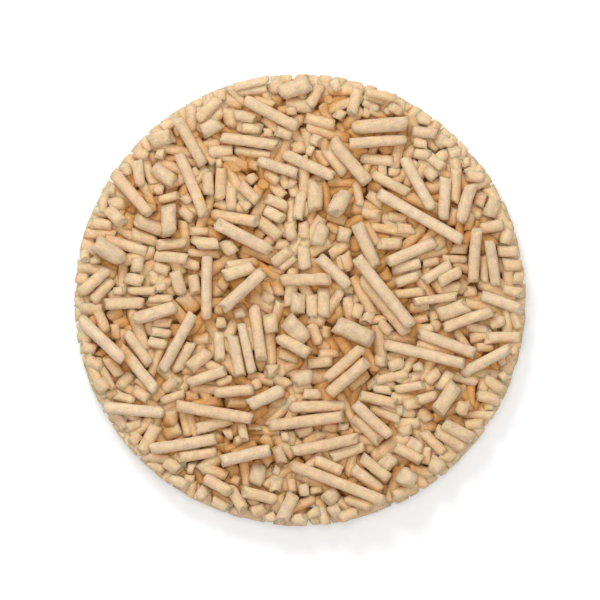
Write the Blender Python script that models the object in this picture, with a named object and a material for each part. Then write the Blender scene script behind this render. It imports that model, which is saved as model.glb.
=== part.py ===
# A round bed of extruded plant-fibre litter pellets, one shallow serving.
# The pellets that show are laid one by one, each on what lies under it. Those that settle
# into the bed are joined to its core, and the longest, laid last, stay loose on top.
import math
import random

import bmesh
import bpy
import numpy as np
from mathutils import Matrix
from mathutils.bvhtree import BVHTree

# Driving dimensions in metres
BED_DIAMETER = 0.0906
CORE_DEPTH = 0.0052
CORE_INSET = 0.0019
SLIM_DIAMETER = 0.0019
PLAIN_DIAMETER = 0.0023
STOUT_DIAMETER = 0.0026
FAT_DIAMETER = 0.0031
THICK_DIAMETER = 0.0036
BOND_DEPTH = 0.00032
LOOSE_GAP = 0.0003
STANDING_LENGTH = 0.0046
STANDING_RISE = 0.0004
SHORTEST_BONDED = 0.0020

# How pellets end and lie
LOOSE_COUNT = 59
END_SLANT = 0.26
RIM_SLANT = math.tan(math.radians(35))
LEAST_FACING = math.cos(math.radians(72))
ALONG_RIM = math.sin(math.radians(30))
STEEPEST_LIE = math.tan(math.radians(16))
STANDING_SLOPE = math.tan(math.radians(78))
SINK_STEP = BOND_DEPTH / 4
SLIP_STEP = SINK_STEP * 2
NUDGE = 0.0002
NUDGE_COST = 0.25
TURN = math.radians(2)
TURN_COST = 0.125

# The pellets laid round the core's edge, in courses
RIM_COURSES = 2
RIM_PLACES = 20
RIM_LENGTHS = (0.62, 1.0)
RIM_TURN = math.radians(24)
RIM_SHIFT = 0.1

# How finely the shapes and the heap are worked out
CORE_SIDES = 50
BONDED_SIDES = 6
LOOSE_SIDES = 8
CELL = 0.00025
BAND = 0.0005
BED_SEED = 7
RIM_SEED = 11

# Pressed fibre, a warm cream
FIBRE_COLOR = (0.74, 0.52, 0.30)
FIBRE_ROUGHNESS = 0.8
FIBRE_TINTS = (0.94, 1.06)

DIAMETERS = {
    "slim": SLIM_DIAMETER,
    "plain": PLAIN_DIAMETER,
    "stout": STOUT_DIAMETER,
    "fat": FAT_DIAMETER,
    "thick": THICK_DIAMETER,
}

# The rows below are a plan of the bed this many mm across, and follow its diameter
PLAN_ACROSS = 90.6
PLAN_UNIT = BED_DIAMETER / PLAN_ACROSS

# Where the pellets lie, in mm from the plan's middle: both ends of each axis, by thickness
TOP_PELLETS = {
    "slim": [
        (-12.2, -4.6, -9.9, -14.8), (15.0, -16.1, 21.7, -14.3),
    ],
    "plain": [
        (-24.3, 29.6, -19.0, 16.6), (-25.0, 36.3, -18.9, 26.9), (-7.3, 20.4, -2.3, 18.3),
        (-1.5, 10.2, -5.6, 6.9), (-18.6, 9.0, -18.8, -4.2), (15.2, 21.3, 33.2, 12.7),
        (-4.1, 4.2, 6.2, 4.8), (18.9, 14.7, 23.5, 14.2), (16.9, 7.7, 27.4, 12.2),
        (-16.2, -5.9, -16.1, -12.6), (-14.0, -6.8, -12.2, -15.6), (-9.3, -0.8, -7.2, -12.3),
        (2.3, 1.5, 2.4, -3.9), (-17.3, -18.7, -9.2, -17.8), (-24.8, -20.9, -9.2, -23.6),
        (-22.8, -16.6, -14.6, -13.7), (-20.8, -2.6, -27.3, -14.4), (2.4, -4.6, 3.9, -9.0),
        (4.6, -15.9, 12.3, -9.1), (16.4, -8.5, 33.0, -12.6), (11.6, -18.9, 19.6, -21.0),
        (-2.4, -21.3, 9.4, -20.5), (-11.4, 40.0, -0.2, 34.2), (-16.0, 32.8, -4.2, 30.7),
        (-8.6, 28.3, -0.6, 25.0), (-3.6, 29.0, 7.2, 24.4), (4.4, 43.5, 1.6, 38.4),
        (11.6, 42.8, 9.9, 36.8), (0.6, 36.6, 7.4, 34.9), (9.5, 31.2, 21.5, 33.0),
        (20.7, 28.6, 27.2, 18.4), (-37.6, 25.4, -30.4, 16.6), (-44.2, 0.9, -37.8, 5.9),
        (-42.0, -0.6, -37.4, 4.2), (-39.4, -0.4, -31.0, -0.2), (29.4, 24.8, 29.2, 15.9),
        (36.8, 21.8, 35.8, 18.5), (27.4, 3.6, 32.4, 6.2), (35.3, 14.4, 34.6, 3.2),
        (37.6, 12.2, 39.1, 2.6), (35.8, 14.3, 41.2, 15.2), (36.2, 1.2, 45.0, -1.9),
        (-40.4, -2.2, -38.4, -6.6), (-35.0, -6.3, -29.4, -13.0), (-36.0, -9.2, -28.4, -18.2),
        (-33.6, -17.9, -30.0, -19.9), (-39.4, -21.0, -26.8, -22.2), (28.4, -5.7, 38.6, -1.7),
        (36.8, -7.3, 44.5, -7.4), (23.2, -6.4, 35.2, -10.8), (32.6, -15.0, 42.4, -9.9),
        (30.2, -13.7, 27.9, -18.2), (35.4, -19.0, 40.4, -20.4), (-1.9, -30.3, 12.0, -27.3),
        (2.9, -32.0, 8.6, -34.6), (-1.8, -33.4, 17.0, -40.6), (12.3, -31.4, 18.4, -36.2),
        (-12.0, -38.6, -4.6, -40.6), (-21.2, -26.2, -13.0, -24.2), (-30.2, -30.1, -16.8, -27.6),
        (-6.6, -25.1, 8.8, -22.6), (10.6, -20.8, 17.8, -27.8), (18.9, -29.1, 24.8, -32.2),
        (24.2, -26.0, 29.2, -31.0), (-19.6, -35.4, -13.6, -38.6), (-14.2, -37.2, -11.0, -42.4),
        (31.3, 26.8, 31.0, 19.0),
    ],
    "stout": [
        (-17.2, 14.9, -5.9, 9.6), (-7.6, 6.5, -15.8, -2.0), (-15.6, 4.9, -8.7, 7.0),
        (-21.7, 11.7, -15.8, 11.4), (11.2, 15.6, 16.2, 6.2), (11.4, 9.0, 22.8, -5.2),
        (11.6, 4.7, 21.4, -7.2), (3.2, 8.8, 10.2, 2.7), (0.9, 11.4, 1.2, 5.4), (-4.6, -7.1, 2.2, -10.8),
        (4.7, 2.9, 4.8, -3.9), (-10.8, -20.9, -3.0, -17.3), (-22.6, -13.6, -17.9, -9.9),
        (5.3, -18.6, 13.3, -11.8), (9.6, -17.8, 13.7, -14.2), (5.8, 32.0, 14.0, 23.6),
        (-34.6, 16.6, -28.4, 14.2), (-36.2, 4.9, -31.8, 3.9), (34.0, 23.6, 31.6, 15.4),
        (-33.8, -3.8, -24.6, -0.7), (-43.9, -3.3, -35.3, -12.6), (10.2, -33.4, 16.9, -38.2),
        (-1.2, -38.6, -4.2, -44.4), (-16.5, -31.6, -5.6, -29.8), (10.2, -23.6, 16.2, -28.8),
        (28.2, -24.6, 35.0, -28.3), (26.7, -26.0, 33.2, -30.0), (-28.7, -24.6, -32.0, -30.9),
        (-27.3, -32.2, -24.2, -34.4), (-4.4, -35.4, -5.3, -38.9), (21.4, -28.0, 25.0, -30.0),
    ],
    "fat": [
        (2.9, 24.4, 2.9, 17.3), (-0.4, 2.0, -0.5, -3.3), (-20.2, 33.6, -15.6, 35.9),
        (-4.2, 41.2, 2.6, 43.2), (10.3, 34.6, 22.0, 35.6), (-26.5, 19.6, -26.4, 12.4),
        (31.5, -16.6, 27.0, -22.4), (27.2, -3.2, 34.2, -0.9), (-29.6, 26.7, -24.9, 23.4),
        (-8.0, -32.6, -9.1, -37.3),
    ],
    "thick": [
        (-2.9, -3.6, 1.4, -8.2), (6.8, -4.2, 14.9, -7.8), (-41.2, 12.0, -35.3, 8.0),
        (16.0, -31.2, 19.2, -33.7), (22.3, -34.2, 20.6, -37.4), (25.6, -32.2, 28.8, -34.2),
    ],
}
MIDDLE_PELLETS = {
    "slim": [
        (-13.5, 42.6, -6.0, 44.3), (-7.6, 33.6, -5.2, 33.5), (-10.6, 27.4, -8.0, 26.6),
        (-17.2, 27.3, -15.2, 27.5), (-2.8, 23.6, -0.6, 23.0), (13.2, 42.2, 19.6, 40.6),
        (16.8, 37.3, 19.0, 38.6), (17.4, 25.7, 20.2, 25.6), (-37.6, 1.7, -34.8, 1.9),
        (21.0, 1.4, 25.2, 1.2), (43.8, -9.4, 43.4, -11.4), (34.6, -22.6, 34.8, -24.0),
        (-12.0, -24.6, -11.2, -28.4), (-25.4, -30.6, -24.0, -32.4), (-28.4, 34.6, -24.6, 36.2),
        (-36.8, -25.9, -35.4, -27.2), (3.0, -25.2, 4.5, -25.4), (-0.8, 8.8, -4.2, 6.0),
        (-22.4, 13.8, -18.0, 13.7), (-16.3, 7.9, -9.4, 8.6), (-22.6, 9.4, -16.0, 9.3),
        (11.3, 24.0, 12.3, 18.7), (13.0, 15.4, 15.6, 11.0), (7.4, 3.1, 8.6, 1.8),
        (17.2, 16.9, 22.0, 16.2), (18.9, 1.0, 25.0, 1.8), (-10.5, -5.2, -9.1, -10.4),
        (-16.8, -16.9, -13.4, -15.6), (-17.3, -1.6, -14.8, -2.4), (5.4, -4.9, 5.2, -7.8),
        (3.4, -10.8, 8.0, -10.6), (14.4, -17.6, 18.6, -18.2), (19.0, -17.9, 25.0, -16.6),
        (13.8, -21.6, 20.2, -24.2), (-12.4, 41.5, -6.5, 42.5), (-9.5, 40.2, -4.8, 39.0),
        (-15.0, 39.6, -13.4, 39.9), (-13.2, 30.0, -5.6, 28.9), (12.2, 38.0, 14.4, 36.8),
        (12.4, 39.6, 15.8, 38.0), (12.8, 41.0, 17.0, 39.6), (17.8, 39.0, 20.4, 37.4),
        (23.4, 36.4, 26.4, 35.7), (-31.0, 4.1, -29.2, 4.4), (-43.4, 10.4, -43.2, 7.6),
        (-34.6, 1.8, -28.8, 1.9), (-30.6, 0.2, -25.4, 0.2), (34.4, 17.9, 33.6, 13.6),
        (28.4, 8.4, 33.6, 8.3), (24.4, 7.2, 28.0, 7.8), (36.8, 9.4, 37.0, 3.4), (40.3, 4.0, 42.0, 3.6),
        (22.6, -0.6, 31.8, 1.0), (-37.2, -4.4, -36.8, -8.2), (-29.8, -4.6, -25.2, -4.6),
        (-30.2, -6.3, -25.6, -7.2), (-32.8, -15.6, -29.6, -18.4), (-37.4, -18.9, -33.0, -20.2),
        (-28.4, -20.2, -22.8, -18.4), (33.2, -5.2, 38.0, -6.0), (35.2, -9.5, 39.0, -9.6),
        (34.8, -16.8, 36.2, -16.6), (-24.4, 36.2, -22.6, 35.4), (-28.4, 20.2, -24.2, 21.2),
        (-5.6, -33.4, -4.0, -34.8), (-1.8, -35.6, -1.4, -38.6), (-13.4, -28.3, -11.2, -27.3),
        (-9.9, -29.2, -9.2, -27.7), (-35.2, -25.8, -31.6, -24.4), (-30.2, -33.4, -27.6, -34.6),
        (28.4, 31.8, 31.0, 31.2), (29.6, 29.0, 32.6, 29.8), (32.2, 27.2, 34.4, 28.0),
        (22.4, 31.8, 25.8, 31.0), (-23.4, -35.9, -21.0, -35.9),
    ],
    "plain": [
        (-43.6, 5.8, -42.2, 5.2), (-38.8, 22.4, -36.6, 22.0), (-6.2, -42.6, -5.4, -44.6),
        (-1.8, -43.8, 1.4, -43.6), (-17.9, 17.2, -8.2, 15.6), (-15.6, 26.6, -16.2, 19.6),
        (-13.8, 22.9, -13.7, 17.7), (-11.6, 20.4, -10.2, 17.8), (-12.6, 23.6, -8.4, 19.6),
        (-7.3, 18.3, -3.2, 15.9), (-2.2, 16.4, -1.6, 11.8), (0.3, 21.8, -0.9, 16.0),
        (-8.3, 1.6, -5.3, -0.4), (-16.6, 4.4, -14.4, 2.2), (-23.5, 7.6, -19.9, 6.6),
        (-21.5, 5.2, -20.8, 0.8), (13.2, 21.6, 16.8, 18.6), (12.2, 17.5, 16.6, 16.9),
        (5.4, 17.2, 9.6, 15.6), (8.8, 9.8, 10.2, 5.6), (0.6, 15.9, 1.0, 11.6), (18.3, 5.8, 24.4, 7.3),
        (18.9, 3.2, 24.2, 5.2), (21.2, -1.9, 26.0, -0.8), (-21.6, -7.9, -17.6, -7.6),
        (-4.6, -10.4, 0.2, -12.0), (-15.3, -20.5, -9.8, -20.8), (-9.0, -15.6, -8.6, -18.2),
        (-21.6, -8.2, -25.0, -14.6), (-17.2, -4.6, -14.6, -4.4), (-13.4, -3.0, -10.6, -2.2),
        (12.2, -0.8, 11.2, -4.0), (14.2, -2.2, 13.0, -5.2), (15.8, -4.2, 18.4, -6.9),
        (1.4, -13.0, 6.6, -12.4), (16.1, -10.6, 15.9, -13.5), (17.2, -13.3, 20.9, -12.2),
        (20.3, -21.3, 24.6, -20.3), (0.2, -18.8, 4.6, -18.8), (-15.8, 40.6, -20.8, 35.9),
        (-2.0, 39.1, -1.6, 36.8), (-13.6, 37.2, -8.4, 36.4), (-12.2, 34.5, -7.9, 34.1),
        (-5.1, 33.9, -1.4, 32.5), (-18.8, 29.5, -13.4, 30.1), (-10.6, 25.2, -8.6, 23.4),
        (-7.4, 25.5, -4.0, 23.5), (6.4, 37.9, 9.2, 36.6), (22.0, 34.0, 27.6, 33.2),
        (11.9, 28.4, 19.2, 27.4), (1.8, 32.4, 4.6, 31.2), (0.9, 30.2, 3.0, 29.6),
        (22.6, 29.4, 26.4, 28.9), (14.4, 25.4, 22.2, 20.9), (-30.2, 19.9, -29.4, 17.0),
        (-42.2, 15.6, -37.4, 14.8), (-34.2, 13.6, -28.4, 11.6), (-29.0, 11.3, -22.4, 11.6),
        (-29.2, 9.0, -22.2, 8.0), (-39.4, 12.6, -30.2, 9.3), (-29.6, 7.1, -26.0, 5.6),
        (-28.0, 3.6, -27.8, 1.6), (-41.6, 9.2, -40.6, 6.8), (30.0, 10.5, 34.0, 10.2),
        (24.4, 4.0, 30.6, 7.6), (39.4, 9.7, 44.2, 9.7), (40.2, 6.8, 44.7, 7.0), (40.6, 2.2, 45.0, 1.2),
        (28.0, 1.8, 32.4, 2.9), (-32.0, -5.4, -31.2, -7.0), (-30.6, -8.2, -26.4, -9.2),
        (-39.8, -11.6, -36.6, -15.9), (-36.2, -17.4, -33.6, -14.4), (-43.8, -9.3, -40.4, -10.0),
        (-43.4, -11.8, -39.8, -13.6), (-27.6, -18.2, -24.6, -15.8), (38.0, -5.0, 41.2, -3.9),
        (40.6, -16.0, 42.6, -14.6), (37.0, -15.2, 41.0, -18.2), (34.8, -20.6, 33.0, -21.6),
        (28.0, -13.9, 25.2, -16.8), (23.4, -12.2, 24.0, -14.8), (23.2, -20.2, 27.6, -19.0),
        (-33.4, 30.0, -30.4, 28.6), (-29.4, 29.4, -26.6, 29.2), (-32.8, 28.2, -32.2, 22.4),
        (-35.5, 27.4, -34.1, 24.8), (-30.6, 23.4, -30.2, 21.6), (-29.4, 22.2, -27.2, 22.0),
        (-23.6, 21.2, -22.0, 19.4), (-24.2, 18.4, -21.2, 16.0), (5.8, -31.7, 13.2, -29.1),
        (0.6, -36.6, 1.0, -39.4), (8.8, -39.8, 14.4, -41.6), (7.6, -43.8, 12.0, -42.2),
        (-5.0, -29.4, -3.6, -33.2), (-8.0, -27.3, -5.0, -29.4), (-14.2, -35.6, -11.6, -36.6),
        (-17.8, -39.9, -14.0, -41.9), (17.6, -39.2, 20.6, -38.6), (18.4, -39.2, 23.8, -37.2),
        (-24.6, -31.6, -16.4, -30.3), (-19.8, -33.4, -14.2, -35.4), (-4.2, -27.3, -2.0, -27.4),
        (5.9, -24.6, 6.6, -26.4), (8.8, -24.2, 8.6, -26.4), (3.4, -26.3, 3.4, -27.8),
        (0.5, -26.0, 1.6, -26.4), (19.2, -26.7, 22.8, -25.7), (32.6, -25.2, 37.4, -24.8),
        (-32.2, -26.6, -34.0, -29.0), (-24.2, -26.8, -23.4, -25.6), (-26.6, -36.0, -22.6, -37.6),
        (33.2, 25.2, 37.6, 24.6), (27.6, 27.6, 29.4, 27.8), (-23.0, -33.6, -20.6, -33.8),
    ],
    "stout": [
        (-8.6, 16.2, -3.6, 12.3), (-18.5, 26.0, -18.4, 20.4), (15.4, 11.2, 20.6, 11.2),
        (8.4, 43.6, 6.2, 42.4), (5.0, 30.6, 9.2, 25.0), (-38.8, 18.4, -35.4, 14.9),
        (-25.4, 6.0, -23.8, 0.8), (41.6, 14.6, 41.0, 11.2), (42.4, 4.4, 45.0, 4.4),
        (42.6, -11.6, 40.6, -13.2), (33.2, -20.4, 32.0, -23.4), (3.2, -36.9, 3.4, -39.3),
        (-20.8, -38.0, -19.2, -40.6), (-10.4, -43.2, -6.4, -41.8), (-15.4, -27.2, -13.3, -26.6),
        (24.9, 26.4, 27.2, 24.2),
    ],
    "fat": [
        (-9.2, -24.6, -9.0, -26.6), (-15.4, 12.2, -13.2, 9.0), (4.9, 15.6, 3.2, 10.4),
        (7.0, 13.6, 10.5, 12.6), (-6.1, -2.2, -5.6, -7.0), (-7.6, -14.2, -3.8, -14.3),
        (-1.9, -16.4, 2.8, -14.9), (-40.2, 18.6, -39.6, 17.0), (-34.4, 6.9, -30.8, 7.2),
        (39.6, 20.6, 37.9, 16.6), (-41.2, -15.6, -39.0, -18.4), (-30.6, 31.9, -25.3, 33.6),
        (5.0, -40.6, 7.8, -38.2), (2.2, -41.4, 3.2, -44.0), (5.8, -43.0, 8.2, -41.4),
    ],
    "thick": [
        (9.2, 21.8, 6.4, 16.8),
    ],
}
STANDING_PELLETS = {
    "slim": [
        (5.2, 39.7), (4.3, 38.2), (10.2, 17.6), (-3.3, -2.3), (-20.3, -24.0),
    ],
    "plain": [
        (-7.7, 22.8), (5.6, 22.1), (8.5, 34.0), (18.8, 30.2), (-35.8, -2.9), (-13.2, -33.6),
        (-10.6, -33.0), (-0.2, -41.4), (-15.0, -29.0), (-26.4, -25.5),
    ],
    "stout": [
        (-6.1, 3.8), (7.5, 40.2), (42.4, -4.2), (36.8, -21.8),
    ],
    "fat": [
        (-20.0, -5.9), (7.6, -8.4), (-12.8, 26.7),
    ],
}


class Pellet:
    # One straight pellet: the middle and heading of its axis, and how its two ends are broken
    def __init__(self, start, end, diameter, chance):
        self.radius = diameter / 2
        self.x = (start[0] + end[0]) / 2
        self.y = (start[1] + end[1]) / 2
        self.z = 0.0
        self.span = math.dist(start, end)
        self.heading = math.atan2(end[1] - start[1], end[0] - start[0])
        self.slope = 0.0
        self.slants = []
        for _ in range(2):
            self.slants.append([chance.uniform(-END_SLANT, END_SLANT) for _ in range(2)])

    def tip(self, side):
        # The end of the axis on one side, -1 or 1
        reach = side * self.span / 2
        return self.x + reach * math.cos(self.heading), self.y + reach * math.sin(self.heading)

    def matrix(self):
        roll = Matrix.Rotation(math.pi / 2, 4, "Z")
        pitch = Matrix.Rotation(math.pi / 2 - math.atan(self.slope), 4, "Y")
        turn = Matrix.Rotation(self.heading, 4, "Z")
        return Matrix.Translation((self.x, self.y, self.z)) @ turn @ pitch @ roll


def end_at_rim(pellet, limit):
    # A pellet that would pass the bed's rim ends there instead, broken along the rim
    for side in (-1, 1):
        if math.hypot(*pellet.tip(side)) <= limit:
            continue
        step_x = math.cos(pellet.heading) * side
        step_y = math.sin(pellet.heading) * side
        lean = pellet.x * step_x + pellet.y * step_y
        inside = limit ** 2 - pellet.x ** 2 - pellet.y ** 2
        reach = math.sqrt(max(lean ** 2 + inside, 0)) - lean
        rim_x = pellet.x + reach * step_x
        rim_y = pellet.y + reach * step_y
        facing = max((rim_x * step_x + rim_y * step_y) / limit, LEAST_FACING)
        skew = (rim_y * step_x - rim_x * step_y) / limit / facing
        slant = max(-RIM_SLANT, min(RIM_SLANT, skew))
        reach += pellet.radius * (abs(slant) - abs(skew - slant))
        pellet.slants[(side + 1) // 2] = [-slant, 0.0]
        shift = (reach - pellet.span / 2) / 2 * side
        pellet.span = reach + pellet.span / 2
        pellet.x += shift * math.cos(pellet.heading)
        pellet.y += shift * math.sin(pellet.heading)


def keep_inside(pellet, limit):
    # A pellet that lies along the rim moves in until its outer side is inside it
    for side in (-1, 1, -1, 1):
        x, y = pellet.tip(side)
        far = math.hypot(x, y)
        sideways = abs(y * math.cos(pellet.heading) - x * math.sin(pellet.heading)) / far
        over = far + pellet.radius * sideways - limit
        if over > 0 and sideways > ALONG_RIM:
            pellet.x -= x / far * over
            pellet.y -= y / far * over


class Heap:
    # The height of the heap over a square grid, raised by each pellet laid on it
    def __init__(self, reach, level):
        count = math.ceil(reach / CELL)
        self.line = np.arange(-count, count + 1) * CELL
        self.height = np.full((len(self.line), len(self.line)), level)

    def under(self, pellet, half, wide):
        # The cells round a pellet: how far along and across it each lies, and which it covers
        along_x = math.cos(pellet.heading)
        along_y = math.sin(pellet.heading)
        reach_x = abs(along_x) * half + abs(along_y) * wide
        reach_y = abs(along_y) * half + abs(along_x) * wide
        columns = np.flatnonzero(np.abs(self.line - pellet.x) <= reach_x)
        rows = np.flatnonzero(np.abs(self.line - pellet.y) <= reach_y)
        east, north = np.meshgrid(self.line[columns] - pellet.x, self.line[rows] - pellet.y)
        along = east * along_x + north * along_y
        across = north * along_x - east * along_y
        covered = (np.abs(along) <= half) & (np.abs(across) < wide)
        return np.ix_(rows, columns), along, across, covered

    def rest(self, pellet, gap):
        # The lowest level and the slope at which the pellet clears the heap by the gap
        wide = pellet.radius + gap
        window, along, across, covered = self.under(pellet, pellet.span / 2 + gap, wide)
        ground = self.height[window][covered]
        belly = np.sqrt(wide ** 2 - across[covered] ** 2)
        slope = 0.0
        for _ in range(2):
            needed = ground + belly * math.hypot(1, slope)
            level, slope = balance(along[covered], needed)
        return level, slope

    def settle(self, pellet, gap, steps):
        # The pellet shifts and turns a little to where it lies lowest
        best = None
        x, y, heading = pellet.x, pellet.y, pellet.heading
        for turn in [step * TURN for step in steps]:
            for nudge in [step * NUDGE for step in steps]:
                pellet.heading = heading + turn
                pellet.x = x - nudge * math.sin(heading)
                pellet.y = y + nudge * math.cos(heading)
                level, slope = self.rest(pellet, gap)
                cost = level + abs(nudge) * NUDGE_COST + abs(turn) * pellet.span * TURN_COST
                if best is None or cost < best[0]:
                    best = cost, pellet.x, pellet.y, pellet.heading, level, slope
        pellet.x, pellet.y, pellet.heading, pellet.z, pellet.slope = best[1:]

    def raise_over(self, pellet):
        window, along, across, covered = self.under(pellet, pellet.span / 2, pellet.radius)
        back = np.sqrt(np.maximum(pellet.radius ** 2 - across ** 2, 0)) * math.hypot(1, pellet.slope)
        top = np.where(covered, pellet.z + along * pellet.slope + back, 0)
        self.height[window] = np.maximum(self.height[window], top)

    def stand(self, pellet):
        # A pellet on end between the others, its top a little above what surrounds it
        around = 2 * pellet.radius
        window, along, across, _ = self.under(pellet, around, around)
        top = float(np.median(self.height[window])) + STANDING_RISE
        pellet.slope = STANDING_SLOPE
        pellet.span = STANDING_LENGTH / math.hypot(1, STANDING_SLOPE)
        pellet.z = top - STANDING_LENGTH / 2
        covered = np.hypot(along, across) <= pellet.radius
        self.height[window] = np.maximum(self.height[window], np.where(covered, top, 0))


def balance(along, needed):
    # The straight line over every needed height that is lowest at the pellet's middle
    bands = np.rint(along / BAND).astype(int)
    first = bands.min()
    place = np.arange(first, bands.max() + 1) * BAND
    top = np.zeros(len(place))
    np.maximum.at(top, bands - first, needed)
    near, far = place < 0, place > 0
    width = place[far][None, :] - place[near][:, None]
    rise = top[far][None, :] - top[near][:, None]
    middle = top[near][:, None] - rise / width * place[near][:, None]
    pick = np.unravel_index(middle.argmax(), middle.shape)
    slope = min(STEEPEST_LIE, max(-STEEPEST_LIE, rise[pick] / width[pick]))
    return (top - slope * place).max(), slope


def lying_pellets(groups, chance):
    # The pellets of one layer, ended at the bed's rim, the longest last
    limit = BED_DIAMETER / 2
    pellets = []
    for kind, places in groups.items():
        for x1, y1, x2, y2 in places:
            start = x1 * PLAN_UNIT, y1 * PLAN_UNIT
            end = x2 * PLAN_UNIT, y2 * PLAN_UNIT
            pellet = Pellet(start, end, DIAMETERS[kind], chance)
            end_at_rim(pellet, limit)
            keep_inside(pellet, limit)
            if math.hypot(pellet.x, pellet.y) < limit and pellet.span > SHORTEST_BONDED:
                pellets.append(pellet)
    return sorted(pellets, key=lambda pellet: pellet.span)


def rim_pellets(chance):
    # Pellets round the core that lie roughly along its edge, in courses from the ground up
    limit = BED_DIAMETER / 2
    step = 2 * math.pi / RIM_PLACES
    pellets = []
    for course in range(RIM_COURSES):
        for place in range(RIM_PLACES):
            diameter = chance.choice((PLAIN_DIAMETER, STOUT_DIAMETER))
            bearing = (place + course / RIM_COURSES + chance.uniform(-RIM_SHIFT, RIM_SHIFT)) * step
            heading = bearing + math.pi / 2 + chance.uniform(-RIM_TURN, RIM_TURN)
            half = limit * step * chance.uniform(*RIM_LENGTHS) / 2
            x = (limit - diameter / 2) * math.cos(bearing)
            y = (limit - diameter / 2) * math.sin(bearing)
            along = half * math.cos(heading), half * math.sin(heading)
            pellet = Pellet((x - along[0], y - along[1]), (x + along[0], y + along[1]), diameter, chance)
            keep_inside(pellet, limit)
            pellets.append(pellet)
    return pellets


def lay_rim(pellets, laid):
    # They rest on the ground and on each other, none above the core
    heap = Heap(BED_DIAMETER / 2 + THICK_DIAMETER, 0.0)
    for pellet in pellets:
        pellet.z, pellet.slope = heap.rest(pellet, 0.0)
        rise = abs(pellet.slope) * pellet.span / 2
        pellet.z = min(pellet.z, CORE_DEPTH - pellet.radius - rise)
        laid.append(pellet_tree(pellet))
        heap.raise_over(pellet)


def standing_pellets(groups, chance):
    # The pellets on end, those clear of the rim
    pellets = []
    for kind, places in groups.items():
        for x, y in places:
            heading = chance.uniform(-math.pi, math.pi)
            foot = x * PLAN_UNIT, y * PLAN_UNIT
            ahead = foot[0] + BAND * math.cos(heading), foot[1] + BAND * math.sin(heading)
            pellet = Pellet(foot, ahead, DIAMETERS[kind], chance)
            if math.hypot(pellet.x, pellet.y) + 2 * pellet.radius < BED_DIAMETER / 2:
                pellets.append(pellet)
    return pellets


def bond(heap, pellets, laid):
    # Each pellet settles, then sinks and slips inwards until it bites into what carries it
    for pellet in pellets:
        heap.settle(pellet, 0.0, (-1, 0, 1))
        pellet.z -= BOND_DEPTH
        far = math.hypot(pellet.x, pellet.y)
        inwards = -pellet.x / far * SLIP_STEP, -pellet.y / far * SLIP_STEP
        while not any(pellet_tree(pellet).overlap(tree) for tree in laid):
            pellet.x += inwards[0]
            pellet.y += inwards[1]
            pellet.z -= SINK_STEP
        pellet.z -= SINK_STEP
        laid.append(pellet_tree(pellet))
        heap.raise_over(pellet)


def lay_loose(heap, pellets):
    # The longest pellets come to rest a small gap above what carries them
    for pellet in pellets:
        heap.settle(pellet, LOOSE_GAP, (-2, -1, 0, 1, 2))
        heap.raise_over(pellet)


def pellet_shape(pellet, sides):
    # A prism along the pellet's own Z, with a slanted break at each end of its length
    shape = bmesh.new()
    bmesh.ops.create_cone(shape, cap_ends=True, segments=sides, radius1=pellet.radius,
                          radius2=pellet.radius, depth=pellet.span * math.hypot(1, pellet.slope))
    for vert in shape.verts:
        side = math.copysign(1, vert.co.z)
        across, up = pellet.slants[1 if side > 0 else 0]
        deepest = pellet.radius * math.hypot(across, up)
        vert.co.z += across * vert.co.x + up * vert.co.y - side * deepest
    return shape


def pellet_tree(pellet):
    shape = pellet_shape(pellet, BONDED_SIDES)
    bmesh.ops.transform(shape, matrix=pellet.matrix(), verts=shape.verts)
    tree = BVHTree.FromBMesh(shape)
    shape.free()
    return tree


def add_object(name, shape, collection):
    mesh = bpy.data.meshes.new(name)
    shape.to_mesh(mesh)
    shape.free()
    thing = bpy.data.objects.new(name, mesh)
    collection.objects.link(thing)
    return thing


def add_pellet(name, pellet, sides, collection):
    thing = add_object(name, pellet_shape(pellet, sides), collection)
    thing.matrix_world = pellet.matrix()
    return thing


def core_shape():
    # The settled litter under the pellets that show, flat below
    radius = BED_DIAMETER / 2 - CORE_INSET
    shape = bmesh.new()
    bmesh.ops.create_cone(shape, cap_ends=True, segments=CORE_SIDES, radius1=radius,
                          radius2=radius, depth=CORE_DEPTH)
    bmesh.ops.translate(shape, verts=shape.verts, vec=(0, 0, CORE_DEPTH / 2))
    return shape


def fill_pockets(shape):
    # A pocket sealed between joined pellets is filled: only the outer surface stays
    outermost = max(shape.verts, key=lambda vert: vert.co.length)
    outer = {outermost}
    waiting = [outermost]
    while waiting:
        vert = waiting.pop()
        for edge in vert.link_edges:
            other = edge.other_vert(vert)
            if other not in outer:
                outer.add(other)
                waiting.append(other)
    inner = [vert for vert in shape.verts if vert not in outer]
    bmesh.ops.delete(shape, geom=inner, context="VERTS")


def build_bed(pellets, bed, cutters):
    # The core and the pellets that bite into it or each other, joined into one body
    joined = bpy.data.collections.new("joined_pellets")
    cutters.children.link(joined)
    core = add_object("core", core_shape(), cutters)
    for index, pellet in enumerate(pellets, 1):
        add_pellet("joined_%03d" % index, pellet, BONDED_SIDES, joined)
    for thing in cutters.all_objects:
        thing.hide_render = True
        thing.display_type = "WIRE"
    union = core.modifiers.new("joined_pellets", "BOOLEAN")
    union.operation = "UNION"
    union.solver = "EXACT"
    union.operand_type = "COLLECTION"
    union.collection = joined
    depsgraph = bpy.context.evaluated_depsgraph_get()
    whole = bmesh.new()
    whole.from_object(core, depsgraph)
    fill_pockets(whole)
    return add_object("litter_bed", whole, bed)


def fibre_material(name, tint):
    material = bpy.data.materials.new(name)
    material.use_nodes = True
    shader = material.node_tree.nodes["Principled BSDF"]
    shader.inputs["Base Color"].default_value = [tint * part for part in FIBRE_COLOR] + [1]
    shader.inputs["Roughness"].default_value = FIBRE_ROUGHNESS
    shader.inputs["Metallic"].default_value = 0
    return material


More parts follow.
